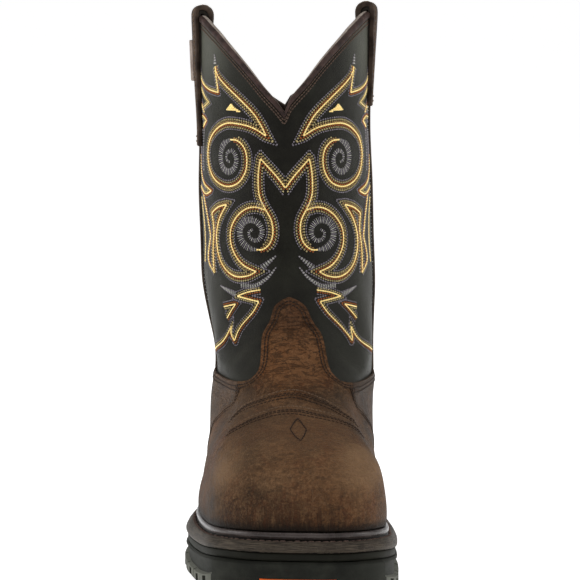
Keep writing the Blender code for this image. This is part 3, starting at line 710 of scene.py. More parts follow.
def laid_grid(name, columns, rows, place, second=()):
    """A grid whose points are laid by a function of their column and row, in millimetres. The rows of faces
    between each pair in second get the piece's second material."""
    bpy.ops.mesh.primitive_grid_add(x_subdivisions=columns, y_subdivisions=rows, size=1.0)
    piece = bpy.context.object
    piece.name = piece.data.name = name
    flat = np.empty(3 * len(piece.data.vertices))
    piece.data.vertices.foreach_get("co", flat)
    share = flat.reshape(-1, 3) + 0.5
    across = np.rint(share[:, 0] * columns).astype(int)
    along = np.rint(share[:, 1] * rows).astype(int)
    points = place(across, along)
    piece.data.vertices.foreach_set("co", (points * MM).ravel())
    up = piece.data.attributes.new("up", "FLOAT", "POINT")
    up.data.foreach_set("value", (along / rows).astype(np.float32))
    corners = np.empty(len(piece.data.loops), dtype=np.int32)
    piece.data.loops.foreach_get("vertex_index", corners)
    row = along[corners.reshape(-1, 4)].min(axis=1)
    marks = np.zeros(len(row), dtype=np.int32)
    for first, last in second:
        marks[(row >= first) & (row < last)] = 1
    piece.data.polygons.foreach_set("material_index", marks)
    piece.data.update()
    return piece


def apply_modifier(piece, kind, **settings):
    pick(piece)
    modifier = piece.modifiers.new(kind.title(), kind)
    for name, value in settings.items():
        setattr(modifier, name, value)
    bpy.ops.object.modifier_apply(modifier=modifier.name)


def thicken(piece, thickness, inner_material=0):
    """Give a sheet its thickness inwards, with the inner side in this one of its materials."""
    apply_modifier(
        piece, "SOLIDIFY", thickness=thickness * MM, offset=-1.0, use_even_offset=True,
        use_quality_normals=True, material_offset=inner_material,
    )


def round_edges(piece, width, segments=2, sharp=60):
    """Round the edges that turn by more than an angle."""
    apply_modifier(
        piece, "BEVEL", width=width * MM, segments=segments, limit_method="ANGLE",
        angle_limit=math.radians(sharp),
    )


def dress(piece, materials, stands_for=(), sharp=50.0):
    """Shade a piece, give it its materials and hand it to the frame."""
    pick(piece)
    bpy.ops.object.shade_smooth_by_angle(angle=math.radians(sharp))
    marks = np.zeros(len(piece.data.polygons), dtype=np.int32)
    piece.data.polygons.foreach_get("material_index", marks)
    piece.data.materials.clear()
    for material in materials:
        piece.data.materials.append(material)
    piece.data.polygons.foreach_set("material_index", marks % len(materials))
    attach(piece, "root")
    if stands_for:
        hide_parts(*stands_for)
    return piece


def leather_sheet(name, angles, rows, out, thickness, shell=False):
    """A sheet of leather over the net's angles and rows, thickened inwards. A shell closes round the boot
    and has its second material inside. Any other sheet has rounded cut edges."""
    def place(across, along):
        angle = angles[across]
        angle = np.where(angle > 180, angle - 360, angle)
        return face(*net(angle, rows[along]), out)[0]

    piece = laid_grid(name, len(angles) - 1, len(rows) - 1, place)
    if shell:
        merge_seams(piece)
        thicken(piece, thickness, 1)
    else:
        thicken(piece, thickness)
        round_edges(piece, 0.5)
    return piece


def hoop(name, angles, profile, second=()):
    """A closed hoop round the boot. profile gives, for the angles, one ring of points for each corner."""
    rings = np.array(profile + profile[:1])

    def place(across, along):
        return rings[along, across]

    piece = laid_grid(name, len(angles) - 1, len(rings) - 1, place, second)
    merge_seams(piece)
    return piece


def full_turn(count, reaches=()):
    """Angles once round the boot, closer together at the toe and the heel, where the outline bends most.
    A column also stands at each of the given reaches."""
    share = np.linspace(-1, 1, count + 1)
    angles = 180 * (share - 0.1 * np.sin(2 * np.pi * share))
    turn = np.degrees(np.arccos(1 - 2 * np.array(reaches) / SOLE_LENGTH))
    return np.unique(np.concatenate((angles, turn, -turn)).round(6))


def sole_points(angles, inset, rise):
    """A ring of the sole's outline, moved in by inset and at heights given by a function of the reach."""
    reach = SOLE_LENGTH * (1 - np.cos(np.radians(angles))) / 2
    by = np.broadcast_to(inset(reach, angles) if callable(inset) else inset, reach.shape)
    section = np.repeat(SOLE[:, None], len(angles), axis=1)
    section[FRONT] = by
    section[BACK] = SOLE_LENGTH - by
    section[TOE:HEEL + 1] -= by
    points = ring_points(section, angles)
    points[:, 2] = rise(reach)
    return points


def seat(reach, above=0.0):
    """Height of the welt's top face."""
    return smooth(SEAT_LINE, reach) + above


def over_seat(above):
    """Heights over the welt's top face, as a function of the reach."""
    return lambda reach: seat(reach, above)


# Share of the way up at which the vamp and the counter come out from behind the bead
BEAD_CLEAR = 0.024


def make_leathers(lining):
    """The shaft and its lining as one wall from the feather edge to the collar, and over it the vamp with
    its tongue-like peak and the counter round the heel."""
    rows = np.concatenate((np.linspace(-1, 1, 50)[:-1], np.linspace(1, 2, 96)))
    shaft = leather_sheet("shaft_and_lining", full_turn(240), rows, 0.0, WALL, shell=True)
    dress(shaft, (black_leather(), lining), ("upper",))
    angles, rows = np.linspace(-SEAM_ANGLE, SEAM_ANGLE, 151), np.linspace(BEAD_CLEAR, 1, 131)
    vamp = leather_sheet("vamp_leather", angles, rows, GAP + OVERLAY, OVERLAY)
    dress(vamp, (vamp_leather(),), ("vamp",))
    end = SEAM_ANGLE + SEAM_GAP
    angles, rows = np.linspace(end, 360 - end, 171), np.linspace(BEAD_CLEAR, 1, 81)
    counter = leather_sheet("counter_leather", angles, rows, GAP + OVERLAY, OVERLAY)
    dress(counter, (counter_leather(),), ("counter",))


# Storm bead: its middle over the feather edge in steps of the sections, its radius, and the turns of its
# cross-section, from its foot on the ledge round to the leather
BEAD_MIDDLE = 0.66
BEAD_RADIUS = 1.6
BEAD_TURNS = (-48, -20, 10, 40, 70, 100, 130, 165)
# Ledge of the welt from the bead's foot to its rolled edge: share of the way out, height over a straight line
LEDGE = (
    (0.0, 0.0), (0.07, -1.0), (0.18, -1.5), (0.30, -1.2), (0.40, 0.15), (0.52, 0.55), (0.70, 0.50),
    (0.88, 0.10),
)
# Rolled outer edge of the welt: out from its outline, height over its top face
WELT_EDGE = ((0.0, -0.7), (0.25, -1.5), (0.25, -2.5), (0.0, -3.3), (-0.7, -4.0))
# Rows of the ledge between which the chain stitches lie, and their pitch and thickness
GROOVE_ROWS = (5, 3)
CHAIN_PITCH = 3.7
CHAIN_WIDTH = 1.45


def welt_rings(angles):
    """The rings of the welt's cross-section: rolled edge, ledge, stitch groove and storm bead."""
    rings = [sole_points(angles, -out, over_seat(up)) for out, up in reversed(WELT_EDGE)]
    edge = sole_points(angles, 0.0, seat)
    feather, normals = last_face(angles, np.zeros(len(angles)))
    step = np.linalg.norm(last_face(angles, np.ones(len(angles)))[0] - feather, axis=1)
    bead = []
    for turn in np.radians(BEAD_TURNS):
        points, outs = last_face(angles, BEAD_MIDDLE + BEAD_RADIUS * math.sin(turn) / step)
        bead.append(points + outs * (GAP + BEAD_RADIUS * (1 + math.cos(turn))))
    for share, rise in reversed(LEDGE):
        ring = bead[0] + (edge - bead[0]) * share
        ring[:, 2] += rise
        rings.append(ring)
    return rings + bead + [feather + normals * GAP]


def make_welt(leather, bead):
    """The storm welt, with its bead in a polished leather."""
    angles = full_turn(300)
    rings = welt_rings(angles)
    piece = hoop("storm_welt", angles, rings, ((len(WELT_EDGE) + len(LEDGE), len(rings) - 1),))
    dress(piece, (leather, bead), ("welt",), sharp=70.0)


def sew_welt(material):
    """Slanting chain stitches down in the groove of the welt."""
    rings = welt_rings(full_turn(600))
    inner, outer = (resample(rings[len(WELT_EDGE) + row], 0.4) for row in GROOVE_ROWS)
    count = int(np.linalg.norm(np.diff(outer, axis=0), axis=1).sum() / CHAIN_PITCH)
    places = [np.linspace(0, len(ring) - 1, count + 1).round().astype(int) for ring in (inner, outer)]
    inner, outer = inner[places[0]], outer[places[1]]
    uneven = 0.3 * np.sin(np.arange(count) * 2.7)[:, None]
    starts = inner[:-1] + np.array((0.0, 0.0, 0.55)) + uneven
    ends = outer[1:] + np.array((0.0, 0.0, -0.1))
    outs = np.tile((0.0, 0.0, 1.0), (count, 1))
    stitch_mesh("welt_chain_stitches", [(starts, ends, outs)], CHAIN_WIDTH, material, sides=6)


def sole_layer(name, angles, profile, second=()):
    """A layer of the sole: rings from its underside to its top, closed along its middle line."""
    rings = [sole_points(angles, inset, rise) for inset, rise in profile]
    closing = []
    for ring in (rings[0], rings[-1]):
        middle = ring.copy()
        middle[:, :2] = (ring[:, :2] + ring[::-1, :2]) / 2
        closing.append(middle)
    stacked = np.array([closing[0]] + rings + [closing[1]])

    def place(across, along):
        return stacked[along, across]

    piece = laid_grid(name, len(angles) - 1, len(stacked) - 1, place, second)
    merge_seams(piece)
    return piece


# Edge of the midsole: in from its outline, height over its underside
MIDSOLE_EDGE = ((0.5, 0.0), (0.05, 0.5), (0.0, 1.6), (0.0, 2.8), (0.05, 3.7), (0.5, 4.15))


def make_midsole(material):
    """The layer between welt and outsole, with softened edges."""
    bottom = -WELT_THICK - MIDSOLE_THICK
    profile = [(LAYER_INSET + inset, over_seat(bottom + up)) for inset, up in MIDSOLE_EDGE]
    piece = sole_layer("midsole_layer", full_turn(300), profile)
    dress(piece, (material,), ("midsole",))


def tread(reach):
    """Height of the tread's underside."""
    return between(TREAD_LINE, reach)


def outsole_profile():
    """Rings of the outsole from its tread up: lug band, recessed flank and the lip under the midsole."""
    top = over_seat(-WELT_THICK - MIDSOLE_THICK - GAP)

    def lug_top(reach):
        return tread(reach) + np.minimum(LUG_FLANK, LUG_SHARE * (top(reach) - tread(reach)))

    def flank(recess):
        def inset(reach, angles):
            bumper = np.where(angles > 0, BUMPER_END, LATERAL_BUMPER)
            return np.where(reach < bumper, 0.0, recess) - LUG_PROUD

        return inset

    return (
        (flank(LUG_BEVEL_IN), tread),
        (flank(0.0), lambda reach: tread(reach) + LUG_BEVEL_UP),
        (flank(0.0), lug_top),
        (flank(FLANK_RECESS), lambda reach: lug_top(reach) + FLANK_BEVEL),
        (flank(FLANK_RECESS), lambda reach: top(reach) - LIP - FLANK_BEVEL),
        (flank(LAYER_INSET), lambda reach: top(reach) - LIP),
        (LAYER_INSET, top),
    )


def cutter_box(low, high):
    """A box to cut with, between two corners in millimetres."""
    low, high = np.array(low), np.array(high)
    bpy.ops.mesh.primitive_cube_add(size=1.0)
    cutter = bpy.context.object
    flat = np.empty(24)
    cutter.data.vertices.foreach_get("co", flat)
    points = (flat.reshape(-1, 3) + 0.5) * (high - low) + low
    cutter.data.vertices.foreach_set("co", (points * MM).ravel())
    return cutter


def groove_cutter(reach, half_length, width, depth, aside=0.0):
    """A box that cuts a groove across the tread, square to the foot's own centre line."""
    half = width / 2
    slope = (tread(reach + half) - tread(reach - half)) / width
    cutter = cutter_box((aside - half_length, -half, -15.0), (aside + half_length, half, depth))
    turn = Euler((math.atan(float(slope)), 0.0, -math.atan(float(along_foot(SLANT, reach)))))
    place = TOE_TIP + np.array((float(along_foot(CENTRE_LINE, reach)), reach, float(tread(reach))))
    cutter.data.transform(Matrix.Translation(Vector(place * MM)) @ turn.to_matrix().to_4x4())
    return cutter


def cut(piece, cutter, operation="DIFFERENCE"):
    """Cut a piece with a cutter and throw the cutter away."""
    apply_modifier(piece, "BOOLEAN", operation=operation, object=cutter, solver="EXACT")
    bpy.data.objects.remove(cutter)


def insert_cutter(spare):
    """The block of the toe's insert, larger all round by spare where it is its pocket."""
    middle = TOE_TIP[0] + CENTRE_LINE[0]
    half = INSERT_HALF_WIDTH + spare
    front, back = TOE_TIP[1] - 5 * LUG_PROUD, TOE_TIP[1] + INSERT_DEPTH + spare
    return cutter_box((middle - half, front, 0.0), (middle + half, back, tread(0.0) + INSERT_HEIGHT + spare))


def make_outsole(black, scuffed, orange):
    """The lugged rubber sole with its grooves, flank sipes and toe bumper, and the insert in its toe."""
    bumper = [end + step * BUMPER_STEP / 2 for end in (BUMPER_END, LATERAL_BUMPER) for step in (-1, 1)]
    angles = full_turn(280, (*bumper, *TREAD_STEPS))
    outsole = sole_layer("lugged_outsole", angles, outsole_profile(), ((2, 4),))
    for polygon in outsole.data.polygons:
        place = np.array(polygon.center) / MM - TOE_TIP
        end = BUMPER_END if place[0] > 0 else LATERAL_BUMPER
        if place[1] + SLANT[0] * (place[0] - CENTRE_LINE[0]) < end:
            polygon.material_index = 0
    insert = sole_layer("toe_insert_moulded", angles, outsole_profile())
    for reach in FOREFOOT_GROOVES + HEEL_GROOVES:
        cut(outsole, groove_cutter(reach, SOLE_LENGTH / 4, GROOVE_WIDTH, GROOVE_DEPTH))
    for reach, aside in FLANK_SIPES:
        cut(outsole, groove_cutter(reach, 5.0, SIPE_WIDTH, GROOVE_DEPTH + 1.5, aside))
    cut(outsole, insert_cutter(GAP))
    cut(insert, insert_cutter(0.0), "INTERSECT")
    for piece, width in ((outsole, 0.45), (insert, 0.5)):
        round_edges(piece, width, sharp=35)
    dress(outsole, (black, scuffed), ("outsole",), sharp=40.0)
    dress(insert, (orange,), ("toe_insert",), sharp=40.0)


def collar_rings(angles):
    """Binding folded over the collar, as a rounded leather channel."""
    near, far = GAP + BINDING, -(WALL + GAP) - BINDING
    middle, half = (near + far) / 2, (near - far) / 2
    bend, tip, hem = near - BINDING_CROWN, -BINDING_BAND - 0.1, -BINDING_BAND + 0.45
    corners = [(GAP, -BINDING_BAND), (near - 0.45 * BINDING, tip), (near, hem), (near, bend)]
    for turn in np.radians((25, 50, 75, 90, 105, 130, 155)):
        corners.append((middle + half * math.cos(turn), bend + BINDING_CROWN * math.sin(turn)))
    corners += [(far, bend), (far, hem), (far + 0.45 * BINDING, tip)]
    corners += [(far + BINDING, -BINDING_BAND), (far + BINDING, 0.0), (GAP, 0.0)]
    height = collar_height(angles)
    return [face(angles, level_at(angles, height + above), out)[0] for out, above in corners]


def make_binding(leather, band):
    """The binding: its fold is painted pale as a highlight, and its outer and inner bands are dark brown with
    painted shade.
    """
    angles = full_turn(300)
    piece = hoop("collar_binding_leather", angles, collar_rings(angles), ((0, 6), (9, 18)))
    dress(piece, (leather, band), ("collar_binding",), sharp=70.0)


def ear_height(side):
    """Height of the collar at the ear on this side."""
    return float(collar_height(np.array([STRAP_MIDDLE[side]]))[0])


def strap_path(side):
    """Outer face of a pull strap from its foot over the ear and down inside: distances out and heights."""
    ear = ear_height(side)
    path = [(out, ear - share * STRAP_DROP[side]) for share, out in reversed(STRAP_BOW)]
    return np.array(path + [(out, ear + above) for out, above in STRAP_LOOP])


def eased_path(path, count):
    """More points along a path, on a curve through the ones it has."""
    for rounds in range(3):
        low = np.concatenate((path[:1], path[:-1]))
        high = np.concatenate((path[1:], path[-1:]))
        far = np.concatenate((path[2:], path[-1:], path[-1:]))
        middles = (path[:-1] * 9 + high[:-1] * 9 - low[:-1] - far[:-1]) / 16
        path = np.insert(path, range(1, len(path)), middles, axis=0)
    return evenly(path, count)


# Angle of the middle of each pull strap and of the side seam under it
STRAP_MIDDLE = {"medial": 90.0, "lateral": -90.0}
# Curl of a pull strap's edges towards the shaft, and the distance out from which it grows to the whole
STRAP_CURL = 1.3
CURL_FROM = 3.0
# The backing of a strap, inside its loop, and how far in its path goes down inside the shaft
BACKING = 2.2
BACKING_END = -6.6


def strip_points(middle, half_angle, path, share):
    """Points and outward directions of a strip's outer face, whose edges curl in where it stands off."""
    angle = middle + half_angle * share
    curl = STRAP_CURL * np.clip((path[:, 0] - CURL_FROM) / 2, 0, 1) * np.abs(share) ** 3
    return face(angle, level_at(angle, path[:, 1]), path[:, 0] - curl)


def strip_piece(name, middle, half_angle, path, thickness, columns, edge):
    """A strip up the side of the shaft along a path of distances out and heights."""
    shares = np.linspace(-1, 1, columns + 1)

    def place(across, along):
        return strip_points(middle, half_angle, path[along], shares[across])[0]

    piece = laid_grid(name, columns, len(path) - 1, place)
    thicken(piece, thickness)
    round_edges(piece, edge, segments=3)
    return piece


def make_straps(strap_leather, piping_leather, backing_leather, tab_leather):
    """Pull straps with their backing, the piping in the side seams and the plain tab."""
    for side, middle in STRAP_MIDDLE.items():
        path = eased_path(strap_path(side), 90)
        piece = strip_piece(f"pull_strap_{side}", middle, STRAP_HALF_ANGLE, path, STRAP, 16, 0.7)
        dress(piece, (strap_leather,), (f"strap_{side}",))
        inside = int(np.nonzero(path[:, 0] < BACKING_END)[0][-1])
        backing = beside(path[:inside], -(STRAP + 0.05))
        half_angle = 0.94 * STRAP_HALF_ANGLE
        piece = strip_piece(f"strap_backing_{side}", middle, half_angle, backing, BACKING, 12, 0.3)
        dress(piece, (backing_leather,))
        foot, head = smooth(SHAFT_FOOT, 90.0) + GAP, path[0, 1] - GAP
        piping = np.stack((np.full(60, GAP + PIPING), np.linspace(foot, head, 60)), axis=1)
        piece = strip_piece(f"side_piping_{side}", middle, PIPING_HALF_ANGLE, piping, PIPING, 4, 0.55)
        dress(piece, (piping_leather,), (f"piping_{side}",))
    heights = ear_height("lateral") - np.array(TAB_SHARES) * STRAP_DROP["lateral"]
    tab = np.stack((between(STRAP_BOW, TAB_SHARES) + GAP + TAB_THICK, heights), axis=1)
    middle = STRAP_MIDDLE["lateral"]
    piece = strip_piece("plain_strap_tab", middle, TAB_HALF_ANGLE, eased_path(tab, 16), TAB_THICK, 10, 0.4)
    dress(piece, (tab_leather,), ("strap_tab",))


def evenly(track, count):
    """This many points at an even pitch along a line."""
    steps = np.concatenate(([0.0], np.cumsum(np.linalg.norm(np.diff(track, axis=0), axis=1))))
    even = np.linspace(0, steps[-1], count)
    return np.stack([np.interp(even, steps, column) for column in track.T], axis=1)


def resample(track, pitch):
    """Points at about this pitch along a line."""
    length = np.cumsum(np.linalg.norm(np.diff(track, axis=0), axis=1))[-1]
    return evenly(track, max(2, int(round(length / pitch)) + 1))


# A stitch from its start to its end: share of its length, share of its full thickness, height in thicknesses
STITCH_SHAPE = ((0.0, 0.45, -0.35), (0.2, 0.95, 0.0), (0.8, 0.95, 0.0), (1.0, 0.45, -0.35))


def stitch_mesh(name, runs, width, material, sides=5):
    """Stitches as one mesh. Each run holds starts, ends and outward directions, in millimetres. A stitch is
    a short thread that dips into the leather at both ends."""
    starts, ends, outs = (np.concatenate(parts) for parts in zip(*runs))
    along = unit(ends - starts)
    across = unit(np.cross(along, outs))
    up = np.cross(across, along)
    rings = []
    for share, size, sink in STITCH_SHAPE:
        middle = starts + (ends - starts) * share + up * (sink * width)
        for turn in np.arange(sides) * 2 * math.pi / sides:
            rings.append(middle + (across * math.cos(turn) + up * math.sin(turn)) * (width / 2 * size))
    count = len(rings)
    quads = []
    for ring in range(0, count - sides, sides):
        for side in range(sides):
            after = (side + 1) % sides
            quads.append((ring + side, ring + sides + side, ring + sides + after, ring + after))
    caps = (range(sides), range(count - 1, count - sides - 1, -1))
    base = (np.arange(len(starts)) * count)[:, None, None]
    faces = (np.array(quads) + base).reshape(-1, 4).tolist()
    faces += (np.array(caps) + base).reshape(-1, sides).tolist()
    mesh = bpy.data.meshes.new(name)
    mesh.from_pydata((np.stack(rings, axis=1).reshape(-1, 3) * MM).tolist(), [], faces)
    piece = bpy.data.objects.new(name, mesh)
    bpy.context.scene.collection.objects.link(piece)
    dress(piece, (material,), sharp=60.0)


def thread_run(points, outs, gap=0.1):
    """Starts, ends and directions of the stitches along a line of points, leaving a gap between them."""
    starts, ends = points[:-1], points[1:]
    trim = (ends - starts) * gap / 2
    return starts + trim, ends - trim, (outs[:-1] + outs[1:]) / 2


# Decoration of one half of a shaft panel: distance from the panel's middle and height. A line runs smoothly
# through the points of a stretch, and the next stretch starts in a sharp corner
FLAME = (
    ((50.4, 276.0), (48.6, 272.0), (44.5, 268.2), (30.1, 258.9), (19.4, 250.2), (14.2, 243.0), (10.9, 236.6)),
    (
        (18.6, 240.9), (28.1, 243.0), (39.5, 243.0), (50.4, 238.7), (58.6, 232.0), (61.3, 223.5),
        (58.0, 214.6), (50.0, 208.5), (38.9, 206.0), (29.8, 208.6), (24.6, 215.0), (23.3, 222.4),
        (24.9, 228.9), (29.8, 233.2), (35.9, 233.7),
    ),
)
FLAME_CURL = (
    ((35.9, 233.7), (42.3, 230.2), (45.0, 223.8), (42.9, 217.2), (37.4, 214.7), (32.4, 217.4), (31.0, 222.8),
     (34.0, 227.2), (38.4, 226.0), (39.2, 222.0), (36.6, 220.6)),
)
FLAME_BACK = (
    ((50.4, 276.0), (49.7, 271.0), (48.3, 265.6), (47.3, 260.7)),
    ((61.9, 262.6), (74.7, 267.0), (80.0, 275.0), (84.0, 284.0)),
    ((83.0, 268.0), (80.0, 256.0), (70.0, 248.0)),
)
HEART = (
    ((-14.5, 223.5), (-5.5, 213.8), (0.0, 206.5)),
    ((5.5, 213.8), (14.5, 223.5)),
    (
        (15.9, 215.3), (16.1, 207.1), (15.4, 201.2), (12.5, 194.7), (9.0, 188.3), (8.0, 181.0), (9.9, 174.6),
        (14.2, 170.8), (18.7, 170.4),
    ),
)
HEART_CURL = (
    ((18.7, 170.4), (24.3, 171.4), (29.0, 175.3), (29.9, 181.0), (26.6, 186.0), (20.8, 187.6), (16.0, 184.8),
     (14.6, 180.0), (17.4, 175.9), (21.8, 176.4), (23.4, 179.9), (20.8, 181.9)),
)
CRESCENT = (
    ((12.1, 193.5), (17.7, 195.0), (24.2, 193.9), (31.5, 189.0), (37.1, 181.2), (37.6, 173.0), (33.9, 166.1),
     (27.7, 160.9), (19.1, 157.9)),
    ((24.9, 155.2), (33.5, 154.1), (42.0, 156.2), (48.8, 161.5), (52.3, 169.3), (52.3, 177.4), (48.2, 186.1),
     (39.9, 195.4)),
    ((49.2, 193.0), (57.5, 189.0)),
    ((55.7, 179.6), (58.0, 168.7), (58.8, 154.0)),
)
SIDE_LEAF = (
    ((72.2, 198.9), (65.9, 186.9), (61.5, 174.9)),
    ((67.6, 161.1), (58.8, 154.0)),
)
LOW_FLAME = (
    ((16.9, 147.9), (25.6, 146.2), (34.6, 143.3)),
    ((26.0, 142.4), (18.4, 141.5)),
    ((23.9, 135.1), (34.0, 126.9), (42.0, 119.0)),
    ((43.7, 122.3), (43.5, 126.7)),
    ((49.7, 120.2), (59.1, 115.6), (78.0, 110.5)),
)
SIDE_BAND = (((84.0, 268.0), (76.0, 262.0), (68.0, 257.5), (60.5, 254.5)), ((70.0, 251.5), (82.0, 250.0)))
SIDE_HOOK = (((84.0, 244.5), (74.0, 245.5), (65.0, 243.5)), ((73.0, 239.0),))
SIDE_FLAME = (((84.0, 222.0), (78.0, 211.5), (70.0, 205.5), (57.0, 202.0)), ((68.0, 199.5), (82.0, 203.0)))
SIDE_STEM = (((80.0, 197.0), (75.0, 184.0), (74.0, 170.0), (77.0, 158.0)),)
SIDE_REEDS = (
    (((70.5, 238.0), (72.0, 226.0), (70.0, 213.0)),),
    (((76.0, 238.0), (78.0, 226.0), (76.0, 214.0)),),
    (((82.0, 236.0), (84.0, 227.0), (83.0, 217.0)),),
)
LOW_BARB = (((49.6, 136.0), (37.1, 138.8)), ((48.9, 130.1),))
ARROW = ((40.0, 250.5), (35.1, 255.0), (32.8, 252.7), (27.0, 250.0), (32.9, 250.6))
PALE_TIPS = (
    (((50.6, 277.0), (51.3, 283.5)),),
    (((15.5, 160.0), (6.4, 167.4)),),
    (((31.0, 150.0), (21.4, 149.6), (12.2, 154.7), (6.5, 161.1)),),
    (((35.5, 144.0), (41.0, 145.2), (52.0, 147.4)),),
)
# Two arches over the toe and the instep: angle, height of the dark rows, height of the pale ridge over them
VAMP_ARCHES = (
    (
        (-52.0, 81.8, 83.0), (-39.5, 88.2, 89.4), (-24.4, 92.8, 94.2), (-13.0, 95.6, 97.2),
        (-1.1, 97.1, 98.8), (9.0, 95.6, 97.2), (23.4, 91.8, 93.2), (34.8, 87.7, 89.0), (50.1, 82.8, 84.3),
    ),
    (
        (-43.0, 78.9, 80.3), (-29.8, 84.3, 85.8), (-21.1, 87.1, 88.6), (-11.5, 89.6, 91.2),
        (-1.1, 90.7, 92.4), (7.3, 89.8, 91.5), (20.9, 87.6, 89.2), (30.9, 85.4, 87.0), (41.5, 82.4, 84.0),
        (52.0, 78.4, 79.8),
    ),
)
# The diamond between the arches: angle, height
DIAMOND = ((0.6, 87.9), (3.5, 84.2), (0.4, 80.7), (-2.5, 84.2))
# Rows of thread beside a line of the chart: distance to its right, thread, thickness
BROAD_BAND = (
    (-3.5, "slate", 0.85), (-2.2, "olive", 1.05), (-1.05, "brown", 0.8), (0.0, "gold", 1.0),
    (1.1, "rust", 0.9), (2.25, "olive", 1.05), (3.5, "slate", 0.8),
)
NARROW_BAND = (
    (-2.3, "slate", 0.75), (-1.15, "olive", 0.9), (0.0, "gold", 1.0), (1.15, "rust", 0.85),
    (2.3, "slate", 0.75),
)
SOFT_BAND = ((-1.2, "olive", 0.8), (0.0, "gold", 0.8), (1.2, "olive", 0.8), (2.4, "slate", 0.65))
# Claws that narrow to a point: distance of each row at its root
CLAW_BAND = (
    (-1.6, "slate", 0.7), (-0.8, "pale", 0.6), (0.0, "pale", 0.6), (0.8, "pale", 0.6), (1.6, "slate", 0.7),
)
REED_BAND = ((-0.9, "slate", 0.65), (0.0, "pale", 0.65), (0.9, "slate", 0.65))
# Curls of short cross stitches: half length of a stitch at shares of the way in, and pitch
CURL_HALF = ((0.0, 1.0), (0.16, 2.4), (0.55, 2.0), (1.0, 0.8))
CURL_PITCH = 1.12
CHART_STEP = 0.5
# Shortening of a scroll's outer rows at its inner end for each millimetre that they lie beside its middle
SCROLL_TAPER = 2.5
# Length of a stitch, and the gap after it: gold thread runs on without one
STITCH = 1.7
THREAD_GAP = {"gold": -0.12}


def through(points, parts=14):
    """Close points on a curve through these points."""
    points = np.array(points, dtype=float)
    if len(points) < 3:
        share = np.linspace(0, 1, 4 * parts)[:, None]
        return points[0] + (points[-1] - points[0]) * share
    padded = np.concatenate((2 * points[:1] - points[1:2], points, 2 * points[-1:] - points[-2:-1]))
    part = np.linspace(0, 1, parts, endpoint=False)[:, None]
    curve = [between_rows(*rows, part) for rows in zip(padded, padded[1:], padded[2:], padded[3:])]
    return np.concatenate(curve + [points[-1:]])


def chart_line(stretches):
    """A line of the chart as close points at even steps: smooth stretches with sharp corners between them."""
    line = [through(stretches[0])]
    for stretch in stretches[1:]:
        line.append(through((tuple(line[-1][-1]),) + tuple(stretch))[1:])
    return resample(np.concatenate(line), CHART_STEP)


def to_right(ahead):
    """Directions of the chart turned to their right."""
    return np.stack((ahead[:, 1], -ahead[:, 0]), axis=1)


def beside(line, distance):
    """The line moved to its right, mitred at sharp corners, without the loops that they leave inside."""
    right = to_right(unit(np.diff(line, axis=0)))
    both = np.concatenate((right[:1], right)) + np.concatenate((right, right[-1:]))
    mitre = both * 2 / np.maximum((both * both).sum(axis=1, keepdims=True), 0.3)
    moved = line + distance * mitre
    return moved[clear_of(line, moved, distance)]


def clear_of(line, moved, distance):
    """Which points of a moved line have kept their distance from the line."""
    nearest = np.linalg.norm(moved[:, None] - line[None], axis=2).min(axis=1)
    return nearest > abs(distance) * 0.97 - 0.02


def corner_runs(line, pitch):
    """The line as runs between its sharp corners, each with its points at an even pitch."""
    ahead = unit(np.diff(line, axis=0))
    sharp = np.nonzero((ahead[1:] * ahead[:-1]).sum(axis=1) < 0.8)[0] + 1
    ends = [0, *sharp.tolist(), len(line) - 1]
    return [resample(line[first:last + 1], pitch) for first, last in zip(ends, ends[1:]) if last > first]


def on_shaft(places, side, rear, lift):
    """Points of the shaft's face at places of the chart, on one side of its front or back panel."""
    angle = wrap_angle(places[:, 0] * side, places[:, 1], rear)
    return face(angle, level_at(angle, places[:, 1]), lift)


def scroll_row(line, by):
    """A row beside a scroll, ended early by its distance from the scroll and left out past the panel's
    middle, where the other half's row comes to meet it."""
    row = beside(line, by)
    row = row[:len(row) - int(abs(by) * SCROLL_TAPER / CHART_STEP)]
    return row[row[:, 0] >= 0]


def claw_row(line, by):
    """A row beside a line that comes in to the line at its end."""
    share = np.linspace(0, 1, len(line))[:, None]
    return line + to_right(unit(np.gradient(line, axis=0))) * by * (1 - share) ** 0.8


def decoration_rows():
    """Every row of the decoration's half panel, as its thread, thickness and line of the chart."""
    groups = (
        (scroll_row, BROAD_BAND, (FLAME, HEART)),
        (beside, BROAD_BAND, (CRESCENT,)),
        (beside, SOFT_BAND, (SIDE_BAND, SIDE_STEM)),
        (beside, REED_BAND, SIDE_REEDS),
        (beside, NARROW_BAND, (FLAME_BACK, SIDE_LEAF, SIDE_HOOK, SIDE_FLAME, LOW_FLAME, LOW_BARB)),
        (claw_row, CLAW_BAND, PALE_TIPS),
    )
    rows = []
    for row, band, shapes in groups:
        for shape in shapes:
            rows += [(name, size, row(chart_line(shape), by)) for by, name, size in band]
    return rows


def arrow_rows():
    """Close rows of gold thread that fill the solid arrow."""
    outline = np.array(ARROW + ARROW[:1])
    rows = []
    for height in np.arange(outline[:, 1].min() + 0.4, outline[:, 1].max(), 0.75):
        crossings = []
        for (x0, z0), (x1, z1) in zip(outline, outline[1:]):
            if (z0 - height) * (z1 - height) < 0:
                crossings.append(x0 + (x1 - x0) * (height - z0) / (z1 - z0))
        crossings.sort()
        for low, high in zip(crossings[::2], crossings[1::2]):
            if high - low > 0.8:
                rows.append(("gold", 0.95, np.linspace((low, height), (high, height), 12)))
    return rows


# The four half panels of the shaft: side, and whether it is at the back
HALF_PANELS = ((-1, False), (-1, True), (1, False), (1, True))


